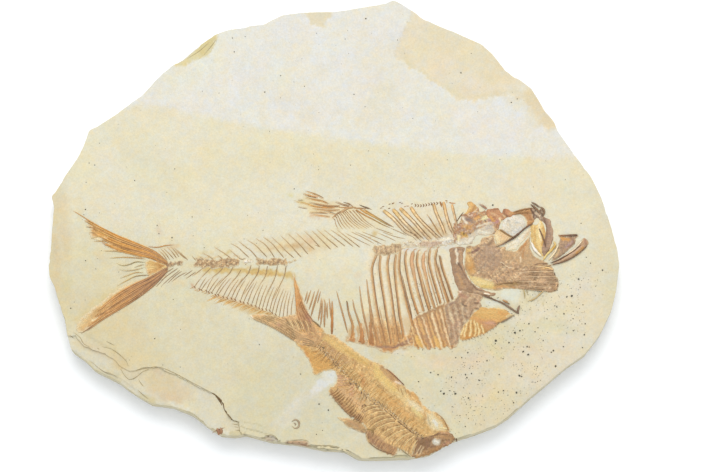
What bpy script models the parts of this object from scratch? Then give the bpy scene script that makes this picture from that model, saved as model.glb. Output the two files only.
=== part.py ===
# Fossil fish slab: a broken plate of bedded limestone with two fossil fish lying in its upper face.
# The plate rests flat on z = 0, fossils up. The large fish lies along +X with its head at +X.
# Drawing points are in millimetres; at() turns them into metres about the plate's centre.
import math

import bmesh
import bpy

MM = 0.001

# Driving dimensions, millimetres
SLAB_LENGTH = 285.0
SLAB_WIDTH = 233.4
SLAB_THICKNESS = 14.0
FLAKE_DEPTH = 1.2        # the top layer broken away at the front left corner
DRAWING_OFFSET = 0.8     # the drawing's zero line lies this far in front of the slab's centre
BED_GAP = 0.3            # between the bedding plane and the underside of the bones
FILM_RELIEF = 0.45       # flattened skin and fins
BONE_RELIEF = 0.75       # bones
EYE_SOCKET = (90.0, 1.2, 5.2)   # x, y, radius
RIB_WIDTH = 1.1
SPINE_WIDTH = 0.7
NECK_BONE_WIDTH = 1.5
FIN_RAY_WIDTH = 0.8

# How far the rim stands in from its widest line at each height: height fraction, inset
RIM_STEPS = [(0.0, 2.0), (0.12, 0.7), (0.36, 0.0), (0.86, 0.3), (1.0, 1.0)]

# The broken rim, anticlockwise from the left end round the front edge
RIM = [
    (-142.5, -20), (-142, -26), (-139.5, -30.5), (-138, -36), (-134, -48), (-132.5, -56),
    (-130.5, -63), (-123.5, -68), (-118.5, -73.2), (-107, -78.8), (-98, -85.5), (-90, -90),
    (-80, -91.3), (-70, -95.2), (-62, -101.5), (-56, -105.5), (-48, -106.2), (-44, -105),
    (-30, -108.8), (-18, -110), (-5, -112.8), (5, -113.3), (12, -117.3), (18, -117.5),
    (37, -117), (47, -115.2), (58, -108.8), (70, -104.8), (80, -101), (86, -97.2),
    (95, -89), (105, -80.5), (115.5, -71.5), (125, -65), (132.5, -55), (138.3, -43),
    (141, -32), (142.5, -20), (141.5, -11), (138, 2.5), (134, 14.8), (129, 25.5),
    (121.5, 36), (112.7, 48.7), (110.7, 54.3), (106, 59.5), (105.3, 61), (100, 70.8),
    (93.5, 75.8), (86.5, 80.3), (80.3, 89), (74.7, 94.2), (61, 100.6), (54, 103.3),
    (45, 108), (35, 115), (30, 117.5), (26, 115.7), (12, 113.2), (0, 111.3),
    (-15.5, 111), (-26, 109.6), (-36, 104.6), (-42, 104), (-52, 102.3), (-60, 99.5),
    (-70.5, 91.8), (-77, 86), (-82.7, 82.7), (-90, 75.5), (-97, 67.5), (-103.5, 63),
    (-109.5, 58), (-117, 53), (-123.5, 49.5), (-126, 41), (-129, 35), (-135, 26),
    (-138.3, 20), (-141.8, 15.5), (-140.3, 10), (-141, 0), (-141.5, -10),
]

# The edge of the broken top layer, then a loop outside the rim that closes it
FLAKE = [
    (-136, -53), (-128, -54.5), (-123, -60), (-115, -63), (-108, -67), (-101, -72),
    (-94, -70.6), (-87, -70.3), (-78, -74), (-70, -78.5), (-58, -84), (-54, -91),
    (-48.5, -98), (-46, -101), (-43, -110), (-90, -115), (-140, -85),
]

# Large fish
SKULL = [
    (58.6, -9), (60, 0), (63, 5), (66.5, 9.5), (72, 11.5), (79, 9.6), (88, 8.6), (99, 10.2),
    (104.5, 8.5), (108.6, 4), (109.6, -2), (109.4, -8), (108, -13), (111.5, -17), (109.2, -20.5),
    (112.6, -27), (111, -32), (104, -33), (95, -31.5), (86, -32), (77, -33.2), (70, -31.5),
    (64, -29), (60.6, -26), (58.8, -20),
]
LOWER_JAW = [
    (108, -15), (112, -11), (112.3, -4), (117, -5), (121.5, -3.6), (121.3, -9), (126, -5.6),
    (127, -8.2), (122, -13), (115, -17), (108.5, -19.5),
]
SHOULDER = [
    (61, -32.6), (60, -37), (55, -37.8), (50, -40), (41.5, -44), (43.5, -52), (45.5, -60.3),
    (52, -61), (60, -59.8), (70, -55.5), (77, -52.5), (84, -47.5), (90, -43.6), (92.3, -43.9),
    (84, -38), (75, -34.4), (66, -32.6),
]
FRONT_BACKBONE = [
    (20, -13.5), (20, -10), (25, -8.8), (34, -7.5), (46, -6.5), (57.6, -6), (57.6, -10.5),
    (46, -11), (34, -12), (27, -13),
]
BELLY_EDGE = [
    (21.6, -57), (30, -58), (36, -56), (41, -54.5), (43, -57), (43.5, -60.2), (38, -60.5),
    (28, -62.8), (21.8, -60.5),
]
MIDDLE_BACKBONE = [(-38.5, -15.5), (-38.5, -19.5), (-23.5, -19.3), (-23.5, -15.5)]
REAR_BACKBONE = [(-69, -15.7), (-69, -20.4), (-47.2, -20.4), (-47.2, -15.6)]
TAIL_CORE = [(-76.2, -16.5), (-76.2, -20), (-84, -29), (-86, -18.5), (-84, -9.6), (-80, -11)]
UPPER_TAIL_LOBE = [
    (-83, -9.4), (-90, -10), (-100, -7), (-110, -3), (-120, 1.5), (-131.5, 8.5), (-124, 1),
    (-122, -5), (-114, -9), (-112, -15.5), (-100, -17), (-84, -18.5),
]
LOWER_TAIL_LOBE = [
    (-83, -20), (-92, -25.5), (-100, -27), (-107, -30), (-118, -39.5), (-130, -50),
    (-126, -53.5), (-113, -45.5), (-102, -38.5), (-92, -31.5), (-83.5, -28.5),
]
DORSAL_FIN_BASE = [
    (-1.5, 4.5), (3, 8), (8, 10.7), (14, 11.6), (18.5, 9.6), (18, 8.2), (12, 8.4), (6, 6.6), (2, 4),
]
ANAL_FIN_LINE = [(-69, -30), (-58, -34), (-46, -37), (-34, -40.5), (-24.5, -44.8)]
ANAL_SUPPORT_TOPS = [(-66, -26), (-53, -26.5), (-42, -28.5), (-33, -31), (-22.5, -33)]

# The first and last of each row of bones; those between are spaced evenly
FRONT_RIBS = (
    [(21.3, -13), (19, -20.5), (19.8, -29), (20.8, -37), (22.5, -45), (25, -58)],
    [(33, -11.5), (32.5, -20), (33.3, -26), (35.3, -33), (37.4, -42), (40, -56)],
)
REAR_RIBS = (
    [(36.5, -11), (35.8, -18), (37, -26), (39, -34), (40.6, -42.5)],
    [(52.8, -10), (52.4, -16), (53.8, -23), (55.6, -30), (57.6, -36.6)],
)
NECK_BONES = (
    [(24.5, 8.8), (28, 5), (34, 0)],
    [(54.6, 13), (55.6, 5), (57.4, -2.5)],
)
LOOSE_SPINES = (
    [(-15, -1.5), (-11, -5.5), (-6, -11)],
    [(5, -1.5), (9, -5), (14.5, -10)],
)
MIDDLE_SPINES = (
    [(-43.5, -6.2), (-39, -10), (-36, -15.8)],
    [(-30, -4.2), (-27, -8.5), (-24.5, -15.8)],
)
REAR_SPINES = (
    [(-72, -12.5), (-70, -14.5), (-67, -16.5)],
    [(-52.3, -9.5), (-50.3, -12.5), (-48.6, -16)],
)
DORSAL_RAYS = (
    [(-15, 18.7), (-6, 14.8), (6, 9.5)],
    [(-11, 6.6), (-4, 6), (0.5, 5.4)],
)
DORSAL_SUPPORTS = (
    [(0.5, 5.5), (2, 3), (3.2, 0.5)],
    [(15, 9.5), (20.5, 5), (26.5, 0.6)],
)

# Short ribs that lie loose behind the rib cage: top, bottom and foot width
LOOSE_RIBS = [
    ((-13, -32), (-13.9, -35.5), 0.8), ((-9.8, -32), (-11.5, -40.5), 0.8),
    ((-7.7, -31.3), (-9.2, -43), 0.8), ((-5.8, -35.8), (-7.3, -46), 0.8),
    ((-4.2, -36.5), (-4.8, -48.8), 0.9), ((-2.6, -35.5), (-2.6, -46), 0.8),
    ((-0.6, -37), (-0.8, -52), 1.5), ((1.4, -32), (5.6, -51), 1.0),
    ((6.3, -37), (9, -56.5), 2.6), ((9.8, -36), (13, -57.5), 2.2),
    ((12.7, -29.5), (16.3, -57.8), 1.8), ((16.3, -26), (19.3, -58.3), 1.8),
]

# Small fish
SMALL_FISH_BODY = [
    (-43, -44.6), (-38, -46.2), (-30, -48), (-24, -48.6), (-20, -47.6), (-19, -42),
    (-19.8, -34), (-20.5, -23.2), (-19, -26), (-17, -31), (-14, -38), (-11, -45.4),
    (-5, -51.4), (0, -54.4), (10, -61), (20, -67.5), (26, -70.5), (35, -79), (45, -87.5),
    (55, -97.5), (60.3, -106.8), (50, -112.6), (43, -115.6), (39, -115), (31, -111.5),
    (30.5, -113.8), (26, -112.8), (20, -110), (16.5, -106), (15, -103.2), (8, -100.5),
    (2, -95.5), (8.5, -96.4), (3, -90), (-3, -82.5), (1, -77), (1, -72.5), (-6, -74),
    (-10, -73.5), (-12, -68), (-16, -61), (-19, -57.5), (-28, -52), (-38, -47.8),
]
SMALL_BACKBONE = [(-12, -56), (-2, -65), (10, -79), (21, -88), (33, -98), (44, -106)]
SMALL_HEAD = [
    (41, -105), (46, -104.6), (54, -102.4), (58.5, -105.2), (59, -106.8), (50, -111.8),
    (43.5, -114.6), (40.4, -112),
]
SMALL_RIBS = (
    [(17, -86), (10, -87.5), (3, -88)],
    [(42, -104.5), (37, -108), (33.5, -111)],
)


def at(x, y, z):
    return (x * MM, (y - DRAWING_OFFSET) * MM, z * MM)


def material(name, colour, roughness):
    mat = bpy.data.materials.new(name)
    mat.use_nodes = True
    shader = mat.node_tree.nodes["Principled BSDF"]
    shader.inputs["Base Color"].default_value = (*colour, 1.0)
    shader.inputs["Roughness"].default_value = roughness
    shader.inputs["Metallic"].default_value = 0.0
    return mat


def mesh_object(name, bm, mat):
    bmesh.ops.recalc_face_normals(bm, faces=bm.faces)
    mesh = bpy.data.meshes.new(name)
    bm.to_mesh(mesh)
    bm.free()
    mesh.materials.append(mat)
    obj = bpy.data.objects.new(name, mesh)
    bpy.context.scene.collection.objects.link(obj)
    return obj


def guide(obj):
    obj.hide_render = True
    obj.display_type = "WIRE"
    return obj


def corner_normals(points):
    """Unit normals at the corners of a closed anticlockwise outline, pointing out."""
    normals = []
    for i, (x, y) in enumerate(points):
        px, py = points[i - 1]
        nx, ny = points[(i + 1) % len(points)]
        dx, dy = nx - px, ny - py
        length = math.hypot(dx, dy)
        normals.append((dy / length, -dx / length))
    return normals


def stack(name, rings, mat):
    """A closed solid through rings of equal count, lowest first."""
    bm = bmesh.new()
    loops = [[bm.verts.new(point) for point in ring] for ring in rings]
    count = len(loops[0])
    for low, high in zip(loops, loops[1:]):
        for i in range(count):
            j = (i + 1) % count
            bm.faces.new((low[i], low[j], high[j], high[i]))
    bm.faces.new(loops[0][::-1])
    bm.faces.new(loops[-1])
    return mesh_object(name, bm, mat)


def prism(name, outline, bottom, top, mat):
    return stack(name, [[at(x, y, z) for x, y in outline] for z in (bottom, top)], mat)


def bar(points, start_width, end_width):
    """The outline of a strip along a line, its width changing evenly from end to end."""
    left, right = [], []
    last = len(points) - 1
    for i, (x, y) in enumerate(points):
        ax, ay = points[max(i - 1, 0)]
        bx, by = points[min(i + 1, last)]
        length = math.hypot(bx - ax, by - ay)
        half = (start_width + (end_width - start_width) * i / last) / 2
        sx, sy = -(by - ay) / length * half, (bx - ax) / length * half
        left.append((x + sx, y + sy))
        right.append((x - sx, y - sy))
    return right + left[::-1]


def row(ends, count):
    """Lines spaced evenly from the first of a pair of lines to the second."""
    first, last = ends
    lines = []
    for k in range(count):
        t = k / (count - 1)
        line = [(ax + (bx - ax) * t, ay + (by - ay) * t) for (ax, ay), (bx, by) in zip(first, last)]
        lines.append(line)
    return lines


def along(points, t):
    """The point at fraction t of a line, counted evenly from point to point."""
    place = t * (len(points) - 1)
    i = min(int(place), len(points) - 2)
    (ax, ay), (bx, by) = points[i], points[i + 1]
    return (ax + (bx - ax) * (place - i), ay + (by - ay) * (place - i))


def relief(name, outlines, mat, height=BONE_RELIEF):
    """One closed piece on the bedding plane, united from overlapping outlines."""
    bottom = SLAB_THICKNESS + BED_GAP
    base = prism(name, outlines[0], bottom, bottom + height, mat)
    if len(outlines) == 1:
        return base
    united = bpy.data.collections.new(name + "_united")
    bpy.context.scene.collection.children.link(united)
    for i, outline in enumerate(outlines[1:]):
        piece = prism(f"{name}_with_{i}", outline, bottom, bottom + BONE_RELIEF, mat)
        bpy.context.scene.collection.objects.unlink(piece)
        united.objects.link(guide(piece))
    join = base.modifiers.new("Join", "BOOLEAN")
    join.operation = "UNION"
    join.operand_type = "COLLECTION"
    join.collection = united
    join.solver = "EXACT"
    return base


def cut(obj, cutter):
    groove = obj.modifiers.new("Cut", "BOOLEAN")
    groove.operation = "DIFFERENCE"
    groove.object = guide(cutter)
    groove.solver = "EXACT"


def build_slab(mat):
    xs, ys = zip(*RIM)
    to_length = SLAB_LENGTH / (max(xs) - min(xs))
    to_width = SLAB_WIDTH / (max(ys) - min(ys))
    rim = [(x * to_length, y * to_width + DRAWING_OFFSET) for x, y in RIM]
    normals = corner_normals(rim)
    rings = []
    for fraction, inset in RIM_STEPS:
        z = SLAB_THICKNESS * fraction
        rings.append([at(x - nx * inset, y - ny * inset, z) for (x, y), (nx, ny) in zip(rim, normals)])
    slab = stack("limestone_slab", rings, mat)
    flake = prism("flake_cutter", FLAKE, SLAB_THICKNESS - FLAKE_DEPTH, SLAB_THICKNESS + 3, mat)
    cut(slab, flake)


def build_head(mat):
    head = relief("large_fish_head", [SKULL, LOWER_JAW], mat)
    x, y, radius = EYE_SOCKET
    turns = [2 * math.pi * k / 24 for k in range(24)]
    circle = [(x + radius * math.cos(a), y + radius * math.sin(a)) for a in turns]
    cut(head, prism("eye_cutter", circle, SLAB_THICKNESS, SLAB_THICKNESS + 3, mat))


def build_rib_cage(mat):
    ribs = row(FRONT_RIBS, 5) + row(REAR_RIBS, 7)
    bars = [bar(line, RIB_WIDTH, RIB_WIDTH) for line in ribs]
    relief("large_fish_rib_cage", [FRONT_BACKBONE, BELLY_EDGE, *bars[:5]], mat)
    for k, outline in enumerate(bars[5:], 1):
        prism_name = f"large_fish_front_rib_{k}"
        relief(prism_name, [clear_of_backbone(outline)], mat)


def clear_of_backbone(outline):
    """Ends a rib just under the front backbone, where it would otherwise run into it."""
    limit = -12.4
    return [(x, min(y, limit)) for x, y in outline]


def build_back(mat):
    up = row(MIDDLE_SPINES, 5)
    down = [[(x - 1, -18.5), (x - 2.4, -24)] for x in (-36, -32, -28, -24.2)]
    bars = [bar(line, SPINE_WIDTH, SPINE_WIDTH) for line in up + down]
    relief("large_fish_middle_backbone", [MIDDLE_BACKBONE, *bars], mat)

    up = row(REAR_SPINES, 5)
    down = [[(x, -19.5), (x - 2.4, -24)] for x in (-66, -61, -56, -51)]
    bars = [bar(line, SPINE_WIDTH, SPINE_WIDTH) for line in up + down]
    relief("large_fish_rear_backbone", [REAR_BACKBONE, *bars], mat)

    for k, line in enumerate(row(LOOSE_SPINES, 6), 1):
        relief(f"large_fish_loose_spine_{k}", [bar(line, SPINE_WIDTH, SPINE_WIDTH)], mat)
    for k, line in enumerate(row(NECK_BONES, 8), 1):
        relief(f"large_fish_neck_bone_{k}", [bar(line, NECK_BONE_WIDTH, SPINE_WIDTH)], mat)
    for k, (top, foot, width) in enumerate(LOOSE_RIBS, 1):
        relief(f"large_fish_loose_rib_{k}", [bar([top, foot], SPINE_WIDTH, width)], mat)


def build_fins(mat):
    relief("large_fish_tail_fin", [TAIL_CORE, UPPER_TAIL_LOBE, LOWER_TAIL_LOBE], mat)

    spread = row(DORSAL_RAYS, 7) + row(DORSAL_SUPPORTS, 8)
    bars = [bar(line, FIN_RAY_WIDTH, FIN_RAY_WIDTH) for line in spread]
    relief("large_fish_dorsal_fin", [DORSAL_FIN_BASE, *bars], mat)

    bars = []
    supports = 20
    for k in range(supports):
        t = k / (supports - 1)
        foot = along(ANAL_FIN_LINE, t)
        bars.append(bar([foot, along(ANAL_SUPPORT_TOPS, t)], SPINE_WIDTH, SPINE_WIDTH))
        ray_tip = (foot[0] - 2.6, foot[1] - 2.2)
        bars.append(bar([foot, ray_tip], FIN_RAY_WIDTH, SPINE_WIDTH))
    line = bar(ANAL_FIN_LINE, 1.2, 1.2)
    relief("large_fish_anal_fin", [line, *bars], mat)


def build_small_fish(mat):
    ribs = [bar(line, RIB_WIDTH, SPINE_WIDTH) for line in row(SMALL_RIBS, 9)]
    backbone = bar(SMALL_BACKBONE, 1.6, 2.6)
    relief("small_fish", [SMALL_FISH_BODY, backbone, SMALL_HEAD, *ribs], mat, FILM_RELIEF)


def main():
    for obj in list(bpy.data.objects):
        bpy.data.objects.remove(obj, do_unlink=True)
    build_slab(material("Limestone", (0.76, 0.70, 0.56), 0.85))
    bone = material("Fossil bone", (0.40, 0.25, 0.13), 0.6)
    build_head(bone)
    relief("large_fish_shoulder", [SHOULDER], bone)
    build_rib_cage(bone)
    build_back(bone)
    build_fins(bone)
    build_small_fish(material("Fossil skin and bone", (0.52, 0.33, 0.14), 0.65))


main()
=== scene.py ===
import math

import bpy
import numpy as np
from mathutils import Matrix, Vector
from mathutils.geometry import delaunay_2d_cdt


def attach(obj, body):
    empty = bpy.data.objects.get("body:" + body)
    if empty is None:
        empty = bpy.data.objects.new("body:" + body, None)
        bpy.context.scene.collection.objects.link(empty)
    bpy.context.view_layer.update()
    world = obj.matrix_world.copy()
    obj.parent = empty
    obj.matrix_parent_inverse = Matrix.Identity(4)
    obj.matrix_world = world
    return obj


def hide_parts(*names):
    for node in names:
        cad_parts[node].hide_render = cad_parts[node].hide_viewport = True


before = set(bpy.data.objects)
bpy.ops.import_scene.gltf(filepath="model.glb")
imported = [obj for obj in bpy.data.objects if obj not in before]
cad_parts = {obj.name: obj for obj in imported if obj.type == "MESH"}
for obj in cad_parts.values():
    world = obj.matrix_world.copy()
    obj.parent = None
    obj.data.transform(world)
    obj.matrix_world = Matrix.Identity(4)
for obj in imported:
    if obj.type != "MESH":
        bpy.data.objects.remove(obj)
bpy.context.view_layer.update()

mm = 0.001
drawingOffset = 0.8  # drawing millimetres are measured from a line this far in front of the slab's middle

# colours as they look on the stone, in sRGB
palette = {
    "tan": "e8e0c5", "bleached": "e8e4d8", "deepTan": "dccfab", "patchTan": "e8dcc1", "cream": "ebe1cb",
    "ochre": "cda25a", "amber": "c8944c", "tanBone": "bf9c74", "dark": "55412f", "grain": "3d3a30",
}
paintTrim = 0.745  # the palette is written as it looks under the lamps, the paint itself is this much darker


def linear(name):
    code = palette.get(name, name)
    parts = [int(code[i:i + 2], 16) / 255 for i in (0, 2, 4)]
    return np.array([c / 12.92 if c <= 0.04045 else ((c + 0.055) / 1.055) ** 2.4 for c in parts]) * paintTrim


def addNode(tree, kind, settings):
    node = tree.nodes.new(kind)
    for key, value in settings.items():
        if not (isinstance(key, int) or key in node.inputs):
            setattr(node, key, value)
        elif isinstance(value, bpy.types.NodeSocket):
            tree.links.new(value, node.inputs[key])
        else:
            node.inputs[key].default_value = value
    return node.outputs[0]


def mineral(name, look):
    # colour comes from each piece's own tint, broken up by warm and cool blotches and a fine grain
    material = bpy.data.materials.new(name)
    material.use_nodes = True
    tree = material.node_tree
    shader = tree.nodes["Principled BSDF"]
    place = tree.nodes.new("ShaderNodeTexCoord").outputs["Object"]
    tint = addNode(tree, "ShaderNodeAttribute", {"attribute_name": "tint"})
    blotch = addNode(tree, "ShaderNodeTexNoise", {"Vector": place, "Scale": 1 / (look["blotchSize"] * mm),
        "Detail": 4.0, "Roughness": 0.65})
    grain = addNode(tree, "ShaderNodeTexNoise", {"Vector": place, "Scale": 1 / (look["grainSize"] * mm),
        "Detail": 3.0, "Roughness": 0.7})
    hue = addNode(tree, "ShaderNodeMapRange", {"Value": blotch, "From Min": 0.34, "From Max": 0.66})
    cast = tree.nodes.new("ShaderNodeMix")
    cast.data_type = "RGBA"
    tree.links.new(hue, cast.inputs[0])
    cast.inputs[6].default_value = (*look["cool"], 1)
    cast.inputs[7].default_value = (*look["warm"], 1)
    fine = addNode(tree, "ShaderNodeMapRange", {"Value": grain, "From Min": 0.3, "From Max": 0.7,
        "To Min": 1 - look["contrast"], "To Max": 1 + look["contrast"]})
    shade = addNode(tree, "ShaderNodeVectorMath", {"operation": "MULTIPLY", 0: tint, 1: cast.outputs[2]})
    shade = addNode(tree, "ShaderNodeVectorMath", {"operation": "SCALE", 0: shade, "Scale": fine})
    bump = addNode(tree, "ShaderNodeBump", {"Strength": look["bump"],
        "Distance": look["grainSize"] * mm / 3, "Height": grain})
    tree.links.new(shade, shader.inputs["Base Color"])
    tree.links.new(bump, shader.inputs["Normal"])
    shader.inputs["Roughness"].default_value = look["roughness"]
    shader.inputs["Specular IOR Level"].default_value = look["specular"]
    return material


# drawings are kept as words: points "x,y" in drawing millimetres, then the words that say how they look
def drawn(text):
    rows = []
    for word in text.split():
        if "," in word:
            if not rows or rows[-1][1]:
                rows.append(([], []))
            rows[-1][0].append(tuple(float(number) for number in word.split(",")))
        else:
            rows[-1][1].append(word)
    return rows


def spots(text):  # one line or outline
    return drawn(text)[0][0]


def lines(text):  # several, with a / between them
    return [points for points, _ in drawn(text)]


def marks(text):  # each with its colour, softness and strength, and for a stroke its width
    return [(points, colour, *map(float, look)) for points, (colour, *look) in drawn(text)]


def bones(text):  # each with its widths, its tones and, when it lies higher than others, its lift
    rows = []
    for points, words in drawn(text):
        tones = [word for word in words if word[0].isalpha() or len(word) == 6]
        first = words.index(tones[0])
        widths = [float(word) for word in words[:first]]
        rows.append((points, widths, " ".join(tones), *map(float, words[first + len(tones):])))
    return rows


# drawing helpers, all in drawing millimetres
noiseTable = np.random.default_rng(11).random((256, 256)) * 2 - 1


def cloud(x, y, size, seed=0, octaves=1):  # smooth noise from -1 to 1
    x, y = np.asarray(x, float), np.asarray(y, float)
    total = np.zeros(np.broadcast(x, y).shape)
    for k in range(octaves):
        u = x / size * 2 ** k + 37.7 * seed + 11.3 * k
        v = y / size * 2 ** k + 19.1 * seed + 7.9 * k
        i, j = np.floor(u).astype(int), np.floor(v).astype(int)
        fu, fv = ease(u - i), ease(v - j)
        a, b = noiseTable[i % 256, j % 256], noiseTable[(i + 1) % 256, j % 256]
        c, d = noiseTable[i % 256, (j + 1) % 256], noiseTable[(i + 1) % 256, (j + 1) % 256]
        total += ((a * (1 - fu) + b * fu) * (1 - fv) + (c * (1 - fu) + d * fu) * fv) * 0.55 ** k
    return total


def ease(t):
    t = np.clip(t, 0, 1)
    return t * t * (3 - 2 * t)


def inside(x, y, outline):
    hit = np.zeros(np.shape(x), bool)
    for (ax, ay), (bx, by) in zip(outline, list(outline[1:]) + [outline[0]]):
        if ay != by:
            hit ^= ((ay > y) != (by > y)) & (x < (bx - ax) * (y - ay) / (by - ay) + ax)
    return hit


def lineDistance(x, y, line):
    best = np.full(np.shape(x), 1e9)
    for (ax, ay), (bx, by) in zip(line, line[1:]):
        dx, dy = bx - ax, by - ay
        t = np.clip(((x - ax) * dx + (y - ay) * dy) / (dx * dx + dy * dy + 1e-12), 0, 1)
        best = np.minimum(best, np.hypot(x - ax - t * dx, y - ay - t * dy))
    return best


def depthInside(x, y, outline):  # distance to the edge, positive inside
    away = lineDistance(x, y, list(outline) + [outline[0]])
    return np.where(inside(x, y, outline), away, -away)


def curve(points, step=1.0, closed=False):  # a smooth line through the points, a point every step millimetres
    p = np.array(points, float)
    p = np.vstack([p[-1:], p, p[:2]]) if closed else np.vstack([2 * p[0] - p[1], p, 2 * p[-1] - p[-2]])
    out = []
    for a, b, c, d in zip(p, p[1:], p[2:], p[3:]):
        count = max(1, int(round(math.dist(b, c) / step)))
        for t in np.arange(count) / count:
            out.append(0.5 * (2 * b + (c - a) * t + (2 * a - 5 * b + 4 * c - d) * t * t
                + (3 * b - a - 3 * c + d) * t ** 3))
    return np.array(out if closed else out + [p[-2]])


def straight(points, step=1.0, closed=False):  # the same without rounding the corners
    p = [np.array(q, float) for q in points]
    out = []
    for a, b in zip(p, p[1:] + p[:1] if closed else p[1:]):
        count = max(1, int(round(math.dist(a, b) / step)))
        out += [a + (b - a) * i / count for i in range(count)]
    return np.array(out if closed else out + [p[-1]])


def normals2d(points, closed=False):  # to the right of the direction of travel
    p = np.asarray(points)
    d = np.roll(p, -1, 0) - np.roll(p, 1, 0) if closed else np.gradient(p, axis=0)
    return np.stack([d[:, 1], -d[:, 0]], 1) / (np.linalg.norm(d, axis=1)[:, None] + 1e-9)


def paint(x, y, colours, stains, waver=0.35):
    # each stain is its points, colour, softness and strength, and for a stroke its width
    wx = x + waver * cloud(x, y, 1.6, 3, 2)
    wy = y + waver * cloud(x, y, 1.6, 4, 2)
    for points, colour, soft, strength, *width in stains:
        reach = soft + (width[0] if width else 0) + 0.5
        px, py = zip(*points)
        near = (wx > min(px) - reach) & (wx < max(px) + reach) & (wy > min(py) - reach) & (wy < max(py)
            + reach)
        if not near.any():
            continue
        nx, ny = wx[near], wy[near]
        if width:
            depth = width[0] / 2 - lineDistance(nx, ny, list(points) * (2 if len(points) == 1 else 1))
        else:
            depth = depthInside(nx, ny, points)
        weight = (ease(depth / soft + 0.5) * strength)[:, None]
        colours[near] = colours[near] * (1 - weight) + linear(colour) * weight
    return colours


def toMetres(x, y, z):
    return np.stack(np.broadcast_arrays(np.asarray(x) * mm, (np.asarray(y) - drawingOffset) * mm,
        np.asarray(z) * mm), -1)


def addPiece(name, mesh, material):
    mesh.materials.clear()
    mesh.materials.append(material)
    piece = bpy.data.objects.new(name, mesh)
    bpy.context.scene.collection.objects.link(piece)
    return piece


def meshPiece(name, points, faces, material, colours=None):
    mesh = bpy.data.meshes.new(name)
    mesh.from_pydata(np.asarray(points).tolist(), [], faces)
    mesh.shade_smooth()
    piece = addPiece(name, mesh, material)
    if colours is not None:
        setTint(mesh, colours)
    return piece


def setTint(mesh, colours):
    tint = mesh.color_attributes.new("tint", "FLOAT_COLOR", "POINT")
    rgba = np.ones((len(mesh.vertices), 4), np.float32)
    rgba[:, :3] = colours
    tint.data.foreach_set("color", rgba.ravel())


def places(mesh):  # the vertices in drawing millimetres
    flat = np.empty(len(mesh.vertices) * 3, np.float32)
    mesh.vertices.foreach_get("co", flat)
    xyz = flat.reshape(-1, 3).astype(float) / mm
    return xyz[:, 0], xyz[:, 1] + drawingOffset, xyz[:, 2]


def hexGrid(low, high, step, seed):
    rows = np.arange(low[1], high[1], step * 0.866)
    grid = np.vstack([np.stack([x := np.arange(low[0] + (k % 2) * step / 2, high[0], step),
        np.full(len(x), y)], 1) for k, y in enumerate(rows)])
    return grid + (np.random.default_rng(seed).random(grid.shape) - 0.5) * step * 0.35


def triangulate(outline, creases, extra):
    # fills an outline with triangles whose edges follow the creases, and tells where its own points went
    points = [tuple(p) for p in outline]
    count = len(points)
    edges = [(i, (i + 1) % count) for i in range(count)]
    for line in creases:
        edges += [(len(points) + i, len(points) + i + 1) for i in range(len(line) - 1)]
        points += [tuple(p) for p in line]
    points += [tuple(p) for p in extra]
    flat, _, faces, sources, _, _ = delaunay_2d_cdt([Vector(p) for p in points], edges, [], 1, 1e-5)
    origin = {s: i for i, source in enumerate(sources) for s in source if s < count}
    return np.array([tuple(p) for p in flat]), faces, [origin[i] for i in range(count)]


# the slab of stone
slab = dict(
    thickness=14.0,          # millimetres
    beds=[1.0, 1.7, 1.2, 2.2, 1.6, 2.4, 1.5, 2.4],
    stainDepth=3.5,          # how far down the side the seams' stain and painted shade keep their colour
    rimStep=0.95,            # between points round the rim
    fineGrid=0.72,           # between points of the upper face where the fish lie
    coarseGrid=1.8,
    undersideGrid=4.5,
    sway=0.16,               # how far the upper face rises and falls
    rimClear=0.8,            # how near the rim points of the upper face may lie
    stepClear=0.55,          # and how near a step in it
)

# steps in the upper face: the line, the points that close the lower side, and how deep that side lies
brokenBeds = [
    dict(line=spots("""
-137,-52.6 -132,-54.4 -128.5,-54.6 -126,-57.6 -123.4,-59.8 -120.5,-61.2 -117.4,-62.4 -113.5,-63.4 -109.5,-66
-105.5,-69.8 -102,-71.9 -98,-71.8 -94.2,-70.4 -87,-70.2 -83.5,-72 -78,-74 -74,-76.4 -70,-78.4 -64,-81.4
-58.6,-83.8 -56.6,-85.6 -54.6,-88.4 -54,-91.2 -52,-94.4 -50,-96.6 -47.4,-97.2 -46.6,-99.6 -46.4,-102.6
-43.4,-104.6 -42.5,-112
"""),
     around=spots("-70,-125 -150,-120 -150,-60"), depth=0.8, ragged=0.35),
    dict(line=spots("-124,-53 -118,-57.5 -113,-60 -108,-62.4 -104.4,-66.4 -102,-70.6"),
     around=spots("-110,-66 -118,-61.4 -126,-56"), depth=0.15, ragged=0.3),
    dict(line=spots("-106,-71 -103.5,-73.6 -100.4,-76 -97.4,-74.6 -94,-72.2 -90,-71"),
     around=[(-88, -100), (-106, -84)], depth=0.15, ragged=0.25),
    dict(line=spots("-83,85 -79,83.6 -74,84 -70,85.4 -66.4,87.6 -62,90.6 -59.6,95.4 -56.4,104"),
     around=[(-75, 108), (-92, 94)], depth=0.4, ragged=0.4),
    dict(line=spots("""
40.2,116 38.6,108 36,103 33.6,98.6 32.2,94 31,90.4 31.4,86.6 34.4,85.4 38,82.2 44,79.4 48.4,76 52.6,73
57,69.6 61,66.4 65,65 75,65.8 86,67.4 92,68.2 97.6,66 98.4,58 104,51.4 116,50
"""),
     around=spots("125,60 90,110 50,125"), depth=0.14, ragged=0.25),
    dict(line=spots("-16,116 -15.2,108.6 -12.4,105.4 -9.4,103.2 -5,103.6 -2.8,106.6 -1.2,116"),
     around=[(-8, 120)], depth=0.14, ragged=0.2),
    dict(line=spots("""
-38.6,-112 -37,-105.6 -33,-104.2 -29.5,-104.4 -27,-107.2 -24,-108.6 -18,-107.8 -13.6,-108.4 -12.4,-116
"""),
     around=[(-25, -118)], depth=2.2, ragged=0.3),
]

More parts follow.
